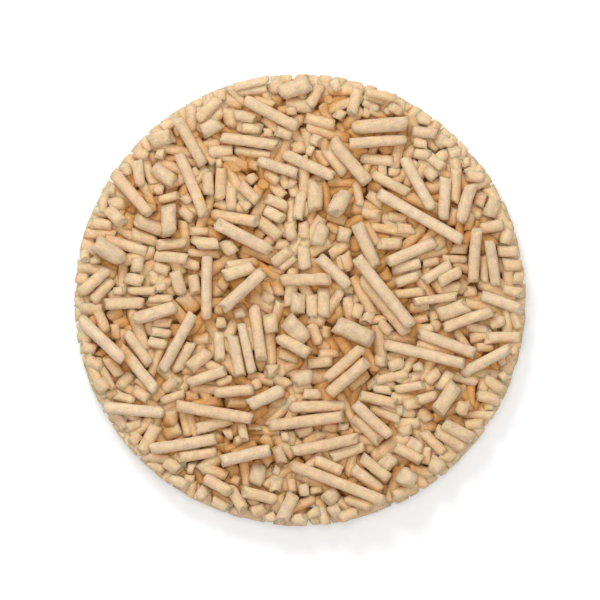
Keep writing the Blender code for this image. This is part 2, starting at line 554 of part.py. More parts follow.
def main():
    for thing in list(bpy.data.objects):
        bpy.data.objects.remove(thing, do_unlink=True)
    bed = bpy.data.collections.new("cat_litter_pellets")
    cutters = bpy.data.collections.new("cutters")
    bpy.context.scene.collection.children.link(bed)
    bpy.context.scene.collection.children.link(cutters)

    chance = random.Random(BED_SEED)
    heap = Heap(BED_DIAMETER / 2 + THICK_DIAMETER, CORE_DEPTH)
    lower = lying_pellets(MIDDLE_PELLETS, chance)
    upper = lying_pellets(TOP_PELLETS, chance)
    standing = standing_pellets(STANDING_PELLETS, chance)
    upper, loose = upper[:-LOOSE_COUNT], upper[-LOOSE_COUNT:]
    core = core_shape()
    laid = [BVHTree.FromBMesh(core)]
    core.free()
    rim = rim_pellets(random.Random(RIM_SEED))
    lay_rim(rim, laid)
    bond(heap, lower, laid)
    for pellet in standing:
        heap.stand(pellet)
    bond(heap, upper, laid)
    lay_loose(heap, loose)

    base = build_bed(rim + lower + standing + upper, bed, cutters)
    base.data.materials.append(fibre_material("litter_bed", 1.0))
    for index, pellet in enumerate(loose, 1):
        name = "pellet_%02d" % index
        thing = add_pellet(name, pellet, LOOSE_SIDES, bed)
        thing.data.materials.append(fibre_material(name, chance.uniform(*FIBRE_TINTS)))


main()
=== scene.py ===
# Cat litter pellets: a round bed of short cream rods, lit softly from beyond its top edge
import math
import random

import bmesh
import bpy
import numpy as np
from mathutils import Matrix, Vector, noise
from mathutils.bvhtree import BVHTree


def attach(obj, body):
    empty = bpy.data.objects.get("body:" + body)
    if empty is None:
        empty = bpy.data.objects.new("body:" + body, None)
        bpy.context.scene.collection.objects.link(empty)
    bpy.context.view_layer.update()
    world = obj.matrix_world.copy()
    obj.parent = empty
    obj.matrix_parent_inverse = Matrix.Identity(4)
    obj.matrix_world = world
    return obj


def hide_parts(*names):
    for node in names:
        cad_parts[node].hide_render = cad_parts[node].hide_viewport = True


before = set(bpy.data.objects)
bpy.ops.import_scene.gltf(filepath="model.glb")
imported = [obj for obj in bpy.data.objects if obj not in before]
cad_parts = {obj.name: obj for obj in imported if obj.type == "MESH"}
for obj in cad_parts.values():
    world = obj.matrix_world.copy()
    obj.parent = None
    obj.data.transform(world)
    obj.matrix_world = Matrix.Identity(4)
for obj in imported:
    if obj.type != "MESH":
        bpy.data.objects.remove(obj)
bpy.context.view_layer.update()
mm = 0.001

# The same lie as the solids: sizes and places in metres
lie = {
    "bedDiameter": 0.0906,
    "coreDepth": 0.0052,
    "coreInset": 0.0019,
    "bondDepth": 0.00032,
    "sinkSteps": 4,
    "slip": 0.00016,
    "looseGap": 0.0003,
    "standingLength": 0.0046,
    "standingRise": 0.0004,
    "shortest": 0.0020,
    "looseCount": 59,
    "endSlant": 0.26,
    "rimSlant": math.tan(math.radians(35)),
    "leastFacing": math.cos(math.radians(72)),
    "alongRim": math.sin(math.radians(30)),
    "steepest": math.tan(math.radians(16)),
    "standingSlope": math.tan(math.radians(78)),
    "nudge": 0.0002,
    "nudgeCost": 0.25,
    "turn": math.radians(2),
    "turnCost": 0.125,
    "cell": 0.00025,
    "band": 0.0005,
    "coreSides": 50,
    "bondedSides": 6,
    "bondedShifts": (-1, 0, 1),
    "looseShifts": (-2, -1, 0, 1, 2),
    "seed": 7,
    "rimCourses": 2,
    "rimPlaces": 20,
    "rimLengths": (0.62, 1.0),
    "rimTurn": math.radians(24),
    "rimShift": 0.1,
    "rimSeed": 11,
}
diameters = {"slim": 0.0019, "plain": 0.0023, "stout": 0.0026, "fat": 0.0031, "thick": 0.0036}

# Both ends of each axis in mm from the bed's middle, by thickness
topPellets = {
    "slim": [
        (-12.2, -4.6, -9.9, -14.8), (15.0, -16.1, 21.7, -14.3),
    ],
    "plain": [
        (-24.3, 29.6, -19.0, 16.6), (-25.0, 36.3, -18.9, 26.9), (-7.3, 20.4, -2.3, 18.3),
        (-1.5, 10.2, -5.6, 6.9), (-18.6, 9.0, -18.8, -4.2), (15.2, 21.3, 33.2, 12.7),
        (-4.1, 4.2, 6.2, 4.8), (18.9, 14.7, 23.5, 14.2), (16.9, 7.7, 27.4, 12.2),
        (-16.2, -5.9, -16.1, -12.6), (-14.0, -6.8, -12.2, -15.6), (-9.3, -0.8, -7.2, -12.3),
        (2.3, 1.5, 2.4, -3.9), (-17.3, -18.7, -9.2, -17.8), (-24.8, -20.9, -9.2, -23.6),
        (-22.8, -16.6, -14.6, -13.7), (-20.8, -2.6, -27.3, -14.4), (2.4, -4.6, 3.9, -9.0),
        (4.6, -15.9, 12.3, -9.1), (16.4, -8.5, 33.0, -12.6), (11.6, -18.9, 19.6, -21.0),
        (-2.4, -21.3, 9.4, -20.5), (-11.4, 40.0, -0.2, 34.2), (-16.0, 32.8, -4.2, 30.7),
        (-8.6, 28.3, -0.6, 25.0), (-3.6, 29.0, 7.2, 24.4), (4.4, 43.5, 1.6, 38.4),
        (11.6, 42.8, 9.9, 36.8), (0.6, 36.6, 7.4, 34.9), (9.5, 31.2, 21.5, 33.0),
        (20.7, 28.6, 27.2, 18.4), (-37.6, 25.4, -30.4, 16.6), (-44.2, 0.9, -37.8, 5.9),
        (-42.0, -0.6, -37.4, 4.2), (-39.4, -0.4, -31.0, -0.2), (29.4, 24.8, 29.2, 15.9),
        (36.8, 21.8, 35.8, 18.5), (27.4, 3.6, 32.4, 6.2), (35.3, 14.4, 34.6, 3.2),
        (37.6, 12.2, 39.1, 2.6), (35.8, 14.3, 41.2, 15.2), (36.2, 1.2, 45.0, -1.9),
        (-40.4, -2.2, -38.4, -6.6), (-35.0, -6.3, -29.4, -13.0), (-36.0, -9.2, -28.4, -18.2),
        (-33.6, -17.9, -30.0, -19.9), (-39.4, -21.0, -26.8, -22.2), (28.4, -5.7, 38.6, -1.7),
        (36.8, -7.3, 44.5, -7.4), (23.2, -6.4, 35.2, -10.8), (32.6, -15.0, 42.4, -9.9),
        (30.2, -13.7, 27.9, -18.2), (35.4, -19.0, 40.4, -20.4), (-1.9, -30.3, 12.0, -27.3),
        (2.9, -32.0, 8.6, -34.6), (-1.8, -33.4, 17.0, -40.6), (12.3, -31.4, 18.4, -36.2),
        (-12.0, -38.6, -4.6, -40.6), (-21.2, -26.2, -13.0, -24.2), (-30.2, -30.1, -16.8, -27.6),
        (-6.6, -25.1, 8.8, -22.6), (10.6, -20.8, 17.8, -27.8), (18.9, -29.1, 24.8, -32.2),
        (24.2, -26.0, 29.2, -31.0), (-19.6, -35.4, -13.6, -38.6), (-14.2, -37.2, -11.0, -42.4),
        (31.3, 26.8, 31.0, 19.0),
    ],
    "stout": [
        (-17.2, 14.9, -5.9, 9.6), (-7.6, 6.5, -15.8, -2.0), (-15.6, 4.9, -8.7, 7.0),
        (-21.7, 11.7, -15.8, 11.4), (11.2, 15.6, 16.2, 6.2), (11.4, 9.0, 22.8, -5.2),
        (11.6, 4.7, 21.4, -7.2), (3.2, 8.8, 10.2, 2.7), (0.9, 11.4, 1.2, 5.4), (-4.6, -7.1, 2.2, -10.8),
        (4.7, 2.9, 4.8, -3.9), (-10.8, -20.9, -3.0, -17.3), (-22.6, -13.6, -17.9, -9.9),
        (5.3, -18.6, 13.3, -11.8), (9.6, -17.8, 13.7, -14.2), (5.8, 32.0, 14.0, 23.6),
        (-34.6, 16.6, -28.4, 14.2), (-36.2, 4.9, -31.8, 3.9), (34.0, 23.6, 31.6, 15.4),
        (-33.8, -3.8, -24.6, -0.7), (-43.9, -3.3, -35.3, -12.6), (10.2, -33.4, 16.9, -38.2),
        (-1.2, -38.6, -4.2, -44.4), (-16.5, -31.6, -5.6, -29.8), (10.2, -23.6, 16.2, -28.8),
        (28.2, -24.6, 35.0, -28.3), (26.7, -26.0, 33.2, -30.0), (-28.7, -24.6, -32.0, -30.9),
        (-27.3, -32.2, -24.2, -34.4), (-4.4, -35.4, -5.3, -38.9), (21.4, -28.0, 25.0, -30.0),
    ],
    "fat": [
        (2.9, 24.4, 2.9, 17.3), (-0.4, 2.0, -0.5, -3.3), (-20.2, 33.6, -15.6, 35.9),
        (-4.2, 41.2, 2.6, 43.2), (10.3, 34.6, 22.0, 35.6), (-26.5, 19.6, -26.4, 12.4),
        (31.5, -16.6, 27.0, -22.4), (27.2, -3.2, 34.2, -0.9), (-29.6, 26.7, -24.9, 23.4),
        (-8.0, -32.6, -9.1, -37.3),
    ],
    "thick": [
        (-2.9, -3.6, 1.4, -8.2), (6.8, -4.2, 14.9, -7.8), (-41.2, 12.0, -35.3, 8.0),
        (16.0, -31.2, 19.2, -33.7), (22.3, -34.2, 20.6, -37.4), (25.6, -32.2, 28.8, -34.2),
    ],
}
middlePellets = {
    "slim": [
        (-13.5, 42.6, -6.0, 44.3), (-7.6, 33.6, -5.2, 33.5), (-10.6, 27.4, -8.0, 26.6),
        (-17.2, 27.3, -15.2, 27.5), (-2.8, 23.6, -0.6, 23.0), (13.2, 42.2, 19.6, 40.6),
        (16.8, 37.3, 19.0, 38.6), (17.4, 25.7, 20.2, 25.6), (-37.6, 1.7, -34.8, 1.9),
        (21.0, 1.4, 25.2, 1.2), (43.8, -9.4, 43.4, -11.4), (34.6, -22.6, 34.8, -24.0),
        (-12.0, -24.6, -11.2, -28.4), (-25.4, -30.6, -24.0, -32.4), (-28.4, 34.6, -24.6, 36.2),
        (-36.8, -25.9, -35.4, -27.2), (3.0, -25.2, 4.5, -25.4), (-0.8, 8.8, -4.2, 6.0),
        (-22.4, 13.8, -18.0, 13.7), (-16.3, 7.9, -9.4, 8.6), (-22.6, 9.4, -16.0, 9.3),
        (11.3, 24.0, 12.3, 18.7), (13.0, 15.4, 15.6, 11.0), (7.4, 3.1, 8.6, 1.8),
        (17.2, 16.9, 22.0, 16.2), (18.9, 1.0, 25.0, 1.8), (-10.5, -5.2, -9.1, -10.4),
        (-16.8, -16.9, -13.4, -15.6), (-17.3, -1.6, -14.8, -2.4), (5.4, -4.9, 5.2, -7.8),
        (3.4, -10.8, 8.0, -10.6), (14.4, -17.6, 18.6, -18.2), (19.0, -17.9, 25.0, -16.6),
        (13.8, -21.6, 20.2, -24.2), (-12.4, 41.5, -6.5, 42.5), (-9.5, 40.2, -4.8, 39.0),
        (-15.0, 39.6, -13.4, 39.9), (-13.2, 30.0, -5.6, 28.9), (12.2, 38.0, 14.4, 36.8),
        (12.4, 39.6, 15.8, 38.0), (12.8, 41.0, 17.0, 39.6), (17.8, 39.0, 20.4, 37.4),
        (23.4, 36.4, 26.4, 35.7), (-31.0, 4.1, -29.2, 4.4), (-43.4, 10.4, -43.2, 7.6),
        (-34.6, 1.8, -28.8, 1.9), (-30.6, 0.2, -25.4, 0.2), (34.4, 17.9, 33.6, 13.6),
        (28.4, 8.4, 33.6, 8.3), (24.4, 7.2, 28.0, 7.8), (36.8, 9.4, 37.0, 3.4), (40.3, 4.0, 42.0, 3.6),
        (22.6, -0.6, 31.8, 1.0), (-37.2, -4.4, -36.8, -8.2), (-29.8, -4.6, -25.2, -4.6),
        (-30.2, -6.3, -25.6, -7.2), (-32.8, -15.6, -29.6, -18.4), (-37.4, -18.9, -33.0, -20.2),
        (-28.4, -20.2, -22.8, -18.4), (33.2, -5.2, 38.0, -6.0), (35.2, -9.5, 39.0, -9.6),
        (34.8, -16.8, 36.2, -16.6), (-24.4, 36.2, -22.6, 35.4), (-28.4, 20.2, -24.2, 21.2),
        (-5.6, -33.4, -4.0, -34.8), (-1.8, -35.6, -1.4, -38.6), (-13.4, -28.3, -11.2, -27.3),
        (-9.9, -29.2, -9.2, -27.7), (-35.2, -25.8, -31.6, -24.4), (-30.2, -33.4, -27.6, -34.6),
        (28.4, 31.8, 31.0, 31.2), (29.6, 29.0, 32.6, 29.8), (32.2, 27.2, 34.4, 28.0),
        (22.4, 31.8, 25.8, 31.0), (-23.4, -35.9, -21.0, -35.9),
    ],
    "plain": [
        (-43.6, 5.8, -42.2, 5.2), (-38.8, 22.4, -36.6, 22.0), (-6.2, -42.6, -5.4, -44.6),
        (-1.8, -43.8, 1.4, -43.6), (-17.9, 17.2, -8.2, 15.6), (-15.6, 26.6, -16.2, 19.6),
        (-13.8, 22.9, -13.7, 17.7), (-11.6, 20.4, -10.2, 17.8), (-12.6, 23.6, -8.4, 19.6),
        (-7.3, 18.3, -3.2, 15.9), (-2.2, 16.4, -1.6, 11.8), (0.3, 21.8, -0.9, 16.0),
        (-8.3, 1.6, -5.3, -0.4), (-16.6, 4.4, -14.4, 2.2), (-23.5, 7.6, -19.9, 6.6),
        (-21.5, 5.2, -20.8, 0.8), (13.2, 21.6, 16.8, 18.6), (12.2, 17.5, 16.6, 16.9),
        (5.4, 17.2, 9.6, 15.6), (8.8, 9.8, 10.2, 5.6), (0.6, 15.9, 1.0, 11.6), (18.3, 5.8, 24.4, 7.3),
        (18.9, 3.2, 24.2, 5.2), (21.2, -1.9, 26.0, -0.8), (-21.6, -7.9, -17.6, -7.6),
        (-4.6, -10.4, 0.2, -12.0), (-15.3, -20.5, -9.8, -20.8), (-9.0, -15.6, -8.6, -18.2),
        (-21.6, -8.2, -25.0, -14.6), (-17.2, -4.6, -14.6, -4.4), (-13.4, -3.0, -10.6, -2.2),
        (12.2, -0.8, 11.2, -4.0), (14.2, -2.2, 13.0, -5.2), (15.8, -4.2, 18.4, -6.9),
        (1.4, -13.0, 6.6, -12.4), (16.1, -10.6, 15.9, -13.5), (17.2, -13.3, 20.9, -12.2),
        (20.3, -21.3, 24.6, -20.3), (0.2, -18.8, 4.6, -18.8), (-15.8, 40.6, -20.8, 35.9),
        (-2.0, 39.1, -1.6, 36.8), (-13.6, 37.2, -8.4, 36.4), (-12.2, 34.5, -7.9, 34.1),
        (-5.1, 33.9, -1.4, 32.5), (-18.8, 29.5, -13.4, 30.1), (-10.6, 25.2, -8.6, 23.4),
        (-7.4, 25.5, -4.0, 23.5), (6.4, 37.9, 9.2, 36.6), (22.0, 34.0, 27.6, 33.2),
        (11.9, 28.4, 19.2, 27.4), (1.8, 32.4, 4.6, 31.2), (0.9, 30.2, 3.0, 29.6),
        (22.6, 29.4, 26.4, 28.9), (14.4, 25.4, 22.2, 20.9), (-30.2, 19.9, -29.4, 17.0),
        (-42.2, 15.6, -37.4, 14.8), (-34.2, 13.6, -28.4, 11.6), (-29.0, 11.3, -22.4, 11.6),
        (-29.2, 9.0, -22.2, 8.0), (-39.4, 12.6, -30.2, 9.3), (-29.6, 7.1, -26.0, 5.6),
        (-28.0, 3.6, -27.8, 1.6), (-41.6, 9.2, -40.6, 6.8), (30.0, 10.5, 34.0, 10.2),
        (24.4, 4.0, 30.6, 7.6), (39.4, 9.7, 44.2, 9.7), (40.2, 6.8, 44.7, 7.0), (40.6, 2.2, 45.0, 1.2),
        (28.0, 1.8, 32.4, 2.9), (-32.0, -5.4, -31.2, -7.0), (-30.6, -8.2, -26.4, -9.2),
        (-39.8, -11.6, -36.6, -15.9), (-36.2, -17.4, -33.6, -14.4), (-43.8, -9.3, -40.4, -10.0),
        (-43.4, -11.8, -39.8, -13.6), (-27.6, -18.2, -24.6, -15.8), (38.0, -5.0, 41.2, -3.9),
        (40.6, -16.0, 42.6, -14.6), (37.0, -15.2, 41.0, -18.2), (34.8, -20.6, 33.0, -21.6),
        (28.0, -13.9, 25.2, -16.8), (23.4, -12.2, 24.0, -14.8), (23.2, -20.2, 27.6, -19.0),
        (-33.4, 30.0, -30.4, 28.6), (-29.4, 29.4, -26.6, 29.2), (-32.8, 28.2, -32.2, 22.4),
        (-35.5, 27.4, -34.1, 24.8), (-30.6, 23.4, -30.2, 21.6), (-29.4, 22.2, -27.2, 22.0),
        (-23.6, 21.2, -22.0, 19.4), (-24.2, 18.4, -21.2, 16.0), (5.8, -31.7, 13.2, -29.1),
        (0.6, -36.6, 1.0, -39.4), (8.8, -39.8, 14.4, -41.6), (7.6, -43.8, 12.0, -42.2),
        (-5.0, -29.4, -3.6, -33.2), (-8.0, -27.3, -5.0, -29.4), (-14.2, -35.6, -11.6, -36.6),
        (-17.8, -39.9, -14.0, -41.9), (17.6, -39.2, 20.6, -38.6), (18.4, -39.2, 23.8, -37.2),
        (-24.6, -31.6, -16.4, -30.3), (-19.8, -33.4, -14.2, -35.4), (-4.2, -27.3, -2.0, -27.4),
        (5.9, -24.6, 6.6, -26.4), (8.8, -24.2, 8.6, -26.4), (3.4, -26.3, 3.4, -27.8),
        (0.5, -26.0, 1.6, -26.4), (19.2, -26.7, 22.8, -25.7), (32.6, -25.2, 37.4, -24.8),
        (-32.2, -26.6, -34.0, -29.0), (-24.2, -26.8, -23.4, -25.6), (-26.6, -36.0, -22.6, -37.6),
        (33.2, 25.2, 37.6, 24.6), (27.6, 27.6, 29.4, 27.8), (-23.0, -33.6, -20.6, -33.8),
    ],
    "stout": [
        (-8.6, 16.2, -3.6, 12.3), (-18.5, 26.0, -18.4, 20.4), (15.4, 11.2, 20.6, 11.2),
        (8.4, 43.6, 6.2, 42.4), (5.0, 30.6, 9.2, 25.0), (-38.8, 18.4, -35.4, 14.9),
        (-25.4, 6.0, -23.8, 0.8), (41.6, 14.6, 41.0, 11.2), (42.4, 4.4, 45.0, 4.4),
        (42.6, -11.6, 40.6, -13.2), (33.2, -20.4, 32.0, -23.4), (3.2, -36.9, 3.4, -39.3),
        (-20.8, -38.0, -19.2, -40.6), (-10.4, -43.2, -6.4, -41.8), (-15.4, -27.2, -13.3, -26.6),
        (24.9, 26.4, 27.2, 24.2),
    ],
    "fat": [
        (-9.2, -24.6, -9.0, -26.6), (-15.4, 12.2, -13.2, 9.0), (4.9, 15.6, 3.2, 10.4),
        (7.0, 13.6, 10.5, 12.6), (-6.1, -2.2, -5.6, -7.0), (-7.6, -14.2, -3.8, -14.3),
        (-1.9, -16.4, 2.8, -14.9), (-40.2, 18.6, -39.6, 17.0), (-34.4, 6.9, -30.8, 7.2),
        (39.6, 20.6, 37.9, 16.6), (-41.2, -15.6, -39.0, -18.4), (-30.6, 31.9, -25.3, 33.6),
        (5.0, -40.6, 7.8, -38.2), (2.2, -41.4, 3.2, -44.0), (5.8, -43.0, 8.2, -41.4),
    ],
    "thick": [
        (9.2, 21.8, 6.4, 16.8),
    ],
}
standingPellets = {
    "slim": [
        (5.2, 39.7), (4.3, 38.2), (10.2, 17.6), (-3.3, -2.3), (-20.3, -24.0),
    ],
    "plain": [
        (-7.7, 22.8), (5.6, 22.1), (8.5, 34.0), (18.8, 30.2), (-35.8, -2.9), (-13.2, -33.6),
        (-10.6, -33.0), (-0.2, -41.4), (-15.0, -29.0), (-26.4, -25.5),
    ],
    "stout": [
        (-6.1, 3.8), (7.5, 40.2), (42.4, -4.2), (36.8, -21.8),
    ],
    "fat": [
        (-20.0, -5.9), (7.6, -8.4), (-12.8, 26.7),
    ],
}


class Pellet:
    # One straight pellet: the middle and heading of its axis, and how its ends are broken
    def __init__(self, start, end, diameter, chance):
        self.radius = diameter / 2
        self.x = (start[0] + end[0]) / 2
        self.y = (start[1] + end[1]) / 2
        self.z = 0.0
        self.span = math.dist(start, end)
        self.heading = math.atan2(end[1] - start[1], end[0] - start[0])
        self.slope = 0.0
        self.slants = []
        for _ in range(2):
            self.slants.append([chance.uniform(-lie["endSlant"], lie["endSlant"]) for _ in range(2)])

    def tip(self, side):
        reach = side * self.span / 2
        return self.x + reach * math.cos(self.heading), self.y + reach * math.sin(self.heading)

    def length(self):
        return self.span * math.hypot(1, self.slope)

    def matrix(self):
        roll = Matrix.Rotation(math.pi / 2, 4, "Z")
        pitch = Matrix.Rotation(math.pi / 2 - math.atan(self.slope), 4, "Y")
        turn = Matrix.Rotation(self.heading, 4, "Z")
        return Matrix.Translation((self.x, self.y, self.z)) @ turn @ pitch @ roll


def pelletAt(x, y, heading, half, diameter, chance):
    stepX, stepY = half * math.cos(heading), half * math.sin(heading)
    return Pellet((x - stepX, y - stepY), (x + stepX, y + stepY), diameter, chance)


def endAtRim(pellet, limit):
    # A pellet that would pass the rim ends there, broken along it
    for side in (-1, 1):
        if math.hypot(*pellet.tip(side)) <= limit:
            continue
        stepX = math.cos(pellet.heading) * side
        stepY = math.sin(pellet.heading) * side
        lean = pellet.x * stepX + pellet.y * stepY
        inside = limit ** 2 - pellet.x ** 2 - pellet.y ** 2
        reach = math.sqrt(max(lean ** 2 + inside, 0)) - lean
        rimX = pellet.x + reach * stepX
        rimY = pellet.y + reach * stepY
        facing = max((rimX * stepX + rimY * stepY) / limit, lie["leastFacing"])
        skew = (rimY * stepX - rimX * stepY) / limit / facing
        slant = max(-lie["rimSlant"], min(lie["rimSlant"], skew))
        reach += pellet.radius * (abs(slant) - abs(skew - slant))
        pellet.slants[(side + 1) // 2] = [-slant, 0.0]
        shift = (reach - pellet.span / 2) / 2 * side
        pellet.span = reach + pellet.span / 2
        pellet.x += shift * math.cos(pellet.heading)
        pellet.y += shift * math.sin(pellet.heading)


def keepInside(pellet, limit):
    # A pellet along the rim moves in until its outer side is inside it
    for side in (-1, 1, -1, 1):
        x, y = pellet.tip(side)
        far = math.hypot(x, y)
        sideways = abs(y * math.cos(pellet.heading) - x * math.sin(pellet.heading)) / far
        over = far + pellet.radius * sideways - limit
        if over > 0 and sideways > lie["alongRim"]:
            pellet.x -= x / far * over
            pellet.y -= y / far * over


class Heap:
    # Height of the heap over a square grid, raised by each pellet laid on it
    def __init__(self, reach, level):
        count = math.ceil(reach / lie["cell"])
        self.line = np.arange(-count, count + 1) * lie["cell"]
        self.height = np.full((len(self.line), len(self.line)), level)

    def under(self, pellet, half, wide):
        alongX = math.cos(pellet.heading)
        alongY = math.sin(pellet.heading)
        reachX = abs(alongX) * half + abs(alongY) * wide
        reachY = abs(alongY) * half + abs(alongX) * wide
        columns = np.flatnonzero(np.abs(self.line - pellet.x) <= reachX)
        rows = np.flatnonzero(np.abs(self.line - pellet.y) <= reachY)
        east, north = np.meshgrid(self.line[columns] - pellet.x, self.line[rows] - pellet.y)
        along = east * alongX + north * alongY
        across = north * alongX - east * alongY
        covered = (np.abs(along) <= half) & (np.abs(across) < wide)
        return np.ix_(rows, columns), along, across, covered

    def rest(self, pellet, gap):
        # The lowest level and the slope at which the pellet clears the heap by the gap
        wide = pellet.radius + gap
        window, along, across, covered = self.under(pellet, pellet.span / 2 + gap, wide)
        ground = self.height[window][covered]
        belly = np.sqrt(wide ** 2 - across[covered] ** 2)
        slope = 0.0
        for _ in range(2):
            needed = ground + belly * math.hypot(1, slope)
            level, slope = balance(along[covered], needed)
        return level, slope

    def settle(self, pellet, gap, steps):
        # It shifts and turns a little to where it lies lowest
        best = None
        x, y, heading = pellet.x, pellet.y, pellet.heading
        for turn in [step * lie["turn"] for step in steps]:
            for nudge in [step * lie["nudge"] for step in steps]:
                pellet.heading = heading + turn
                pellet.x = x - nudge * math.sin(heading)
                pellet.y = y + nudge * math.cos(heading)
                level, slope = self.rest(pellet, gap)
                cost = level + abs(nudge) * lie["nudgeCost"] + abs(turn) * pellet.span * lie["turnCost"]
                if best is None or cost < best[0]:
                    best = cost, pellet.x, pellet.y, pellet.heading, level, slope
        pellet.x, pellet.y, pellet.heading, pellet.z, pellet.slope = best[1:]

    def raiseOver(self, pellet):
        window, along, across, covered = self.under(pellet, pellet.span / 2, pellet.radius)
        back = np.sqrt(np.maximum(pellet.radius ** 2 - across ** 2, 0)) * math.hypot(1, pellet.slope)
        top = np.where(covered, pellet.z + along * pellet.slope + back, 0)
        self.height[window] = np.maximum(self.height[window], top)

    def stand(self, pellet):
        # On end between the others, its top a little above what surrounds it
        around = 2 * pellet.radius
        window, along, across, _ = self.under(pellet, around, around)
        top = float(np.median(self.height[window])) + lie["standingRise"]
        pellet.slope = lie["standingSlope"]
        pellet.span = lie["standingLength"] / math.hypot(1, lie["standingSlope"])
        pellet.z = top - lie["standingLength"] / 2
        covered = np.hypot(along, across) <= pellet.radius
        self.height[window] = np.maximum(self.height[window], np.where(covered, top, 0))


def balance(along, needed):
    # The straight line over every needed height that is lowest at the pellet's middle
    bands = np.rint(along / lie["band"]).astype(int)
    first = bands.min()
    place = np.arange(first, bands.max() + 1) * lie["band"]
    top = np.zeros(len(place))
    np.maximum.at(top, bands - first, needed)
    near, far = place < 0, place > 0
    width = place[far][None, :] - place[near][:, None]
    rise = top[far][None, :] - top[near][:, None]
    middle = top[near][:, None] - rise / width * place[near][:, None]
    pick = np.unravel_index(middle.argmax(), middle.shape)
    slope = min(lie["steepest"], max(-lie["steepest"], rise[pick] / width[pick]))
    return (top - slope * place).max(), slope


def lyingPellets(groups, chance):
    limit = lie["bedDiameter"] / 2
    pellets = []
    for kind, places in groups.items():
        for x1, y1, x2, y2 in places:
            pellet = Pellet((x1 * mm, y1 * mm), (x2 * mm, y2 * mm), diameters[kind], chance)
            endAtRim(pellet, limit)
            keepInside(pellet, limit)
            if math.hypot(pellet.x, pellet.y) < limit and pellet.span > lie["shortest"]:
                pellets.append(pellet)
    return sorted(pellets, key=lambda pellet: pellet.span)


def uprightPellets(groups, chance):
    pellets = []
    for kind, places in groups.items():
        for x, y in places:
            heading = chance.uniform(-math.pi, math.pi)
            ahead = x * mm + lie["band"] * math.cos(heading), y * mm + lie["band"] * math.sin(heading)
            pellet = Pellet((x * mm, y * mm), ahead, diameters[kind], chance)
            if math.hypot(pellet.x, pellet.y) + 2 * pellet.radius < lie["bedDiameter"] / 2:
                pellets.append(pellet)
    return pellets


def trialTree(pellet):
    # The plain prism that the solids use, to find where a pellet bites
    shape = bmesh.new()
    bmesh.ops.create_cone(shape, cap_ends=True, segments=lie["bondedSides"], radius1=pellet.radius,
                          radius2=pellet.radius, depth=pellet.length())
    for vert in shape.verts:
        side = math.copysign(1, vert.co.z)
        across, up = pellet.slants[1 if side > 0 else 0]
        deepest = pellet.radius * math.hypot(across, up)
        vert.co.z += across * vert.co.x + up * vert.co.y - side * deepest
    bmesh.ops.transform(shape, matrix=pellet.matrix(), verts=shape.verts)
    tree = BVHTree.FromBMesh(shape)
    shape.free()
    return tree


def bond(heap, pellets, laid):
    # Each settles, then sinks and slips inwards until it bites into what carries it
    for pellet in pellets:
        heap.settle(pellet, 0.0, lie["bondedShifts"])
        pellet.z -= lie["bondDepth"]
        far = math.hypot(pellet.x, pellet.y)
        inwards = -pellet.x / far * lie["slip"], -pellet.y / far * lie["slip"]
        while not any(trialTree(pellet).overlap(tree) for tree in laid):
            pellet.x += inwards[0]
            pellet.y += inwards[1]
            pellet.z -= lie["bondDepth"] / lie["sinkSteps"]
        pellet.z -= lie["bondDepth"] / lie["sinkSteps"]
        laid.append(trialTree(pellet))
        heap.raiseOver(pellet)


def rimPellets(chance):
    # Round the core, roughly along its edge, in courses from the ground up
    limit = lie["bedDiameter"] / 2
    step = 2 * math.pi / lie["rimPlaces"]
    pellets = []
    for course in range(lie["rimCourses"]):
        for place in range(lie["rimPlaces"]):
            diameter = chance.choice((diameters["plain"], diameters["stout"]))
            shift = chance.uniform(-lie["rimShift"], lie["rimShift"])
            bearing = (place + course / lie["rimCourses"] + shift) * step
            heading = bearing + math.pi / 2 + chance.uniform(-lie["rimTurn"], lie["rimTurn"])
            half = limit * step * chance.uniform(*lie["rimLengths"]) / 2
            x = (limit - diameter / 2) * math.cos(bearing)
            y = (limit - diameter / 2) * math.sin(bearing)
            pellet = pelletAt(x, y, heading, half, diameter, chance)
            keepInside(pellet, limit)
            pellets.append(pellet)
    heap = Heap(limit + diameters["thick"], 0.0)
    for pellet in pellets:
        pellet.z, pellet.slope = heap.rest(pellet, 0.0)
        rise = abs(pellet.slope) * pellet.span / 2
        pellet.z = min(pellet.z, lie["coreDepth"] - pellet.radius - rise)
        heap.raiseOver(pellet)
    return pellets


def layPellets():
    # Rim, lower, standing, upper and loose pellets, where the solids have them
    radius = lie["bedDiameter"] / 2 - lie["coreInset"]
    core = bmesh.new()
    bmesh.ops.create_cone(core, cap_ends=True, segments=lie["coreSides"], radius1=radius,
                          radius2=radius, depth=lie["coreDepth"])
    bmesh.ops.translate(core, verts=core.verts, vec=(0, 0, lie["coreDepth"] / 2))
    laid = [BVHTree.FromBMesh(core)]
    core.free()
    rim = rimPellets(random.Random(lie["rimSeed"]))
    laid += [trialTree(pellet) for pellet in rim]
    chance = random.Random(lie["seed"])
    heap = Heap(lie["bedDiameter"] / 2 + diameters["thick"], lie["coreDepth"])
    lower = lyingPellets(middlePellets, chance)
    upper = lyingPellets(topPellets, chance)
    standing = uprightPellets(standingPellets, chance)
    upper, loose = upper[:-lie["looseCount"]], upper[-lie["looseCount"]:]
    bond(heap, lower, laid)
    for pellet in standing:
        heap.stand(pellet)
    bond(heap, upper, laid)
    for pellet in loose:
        heap.settle(pellet, lie["looseGap"], lie["looseShifts"])
        heap.raiseOver(pellet)
    return rim, lower, standing, upper, loose


print("laying the pellets that show")
rim, lower, standing, upper, loose = layPellets()

# Under the pellets that show, down to the flat underside
underPlan = {
    "seed": 23,
    "tries": 2600,
    "spots": 14,
    "shortest": 0.0026,
    "longest": 0.0105,
    "shorterLate": 0.6,
    "kinds": ["slim", "plain", "plain", "plain", "stout", "stout", "fat"],
    "sink": 0.00025,
    "inset": 0.0004,
    "over": 0.0002,
}


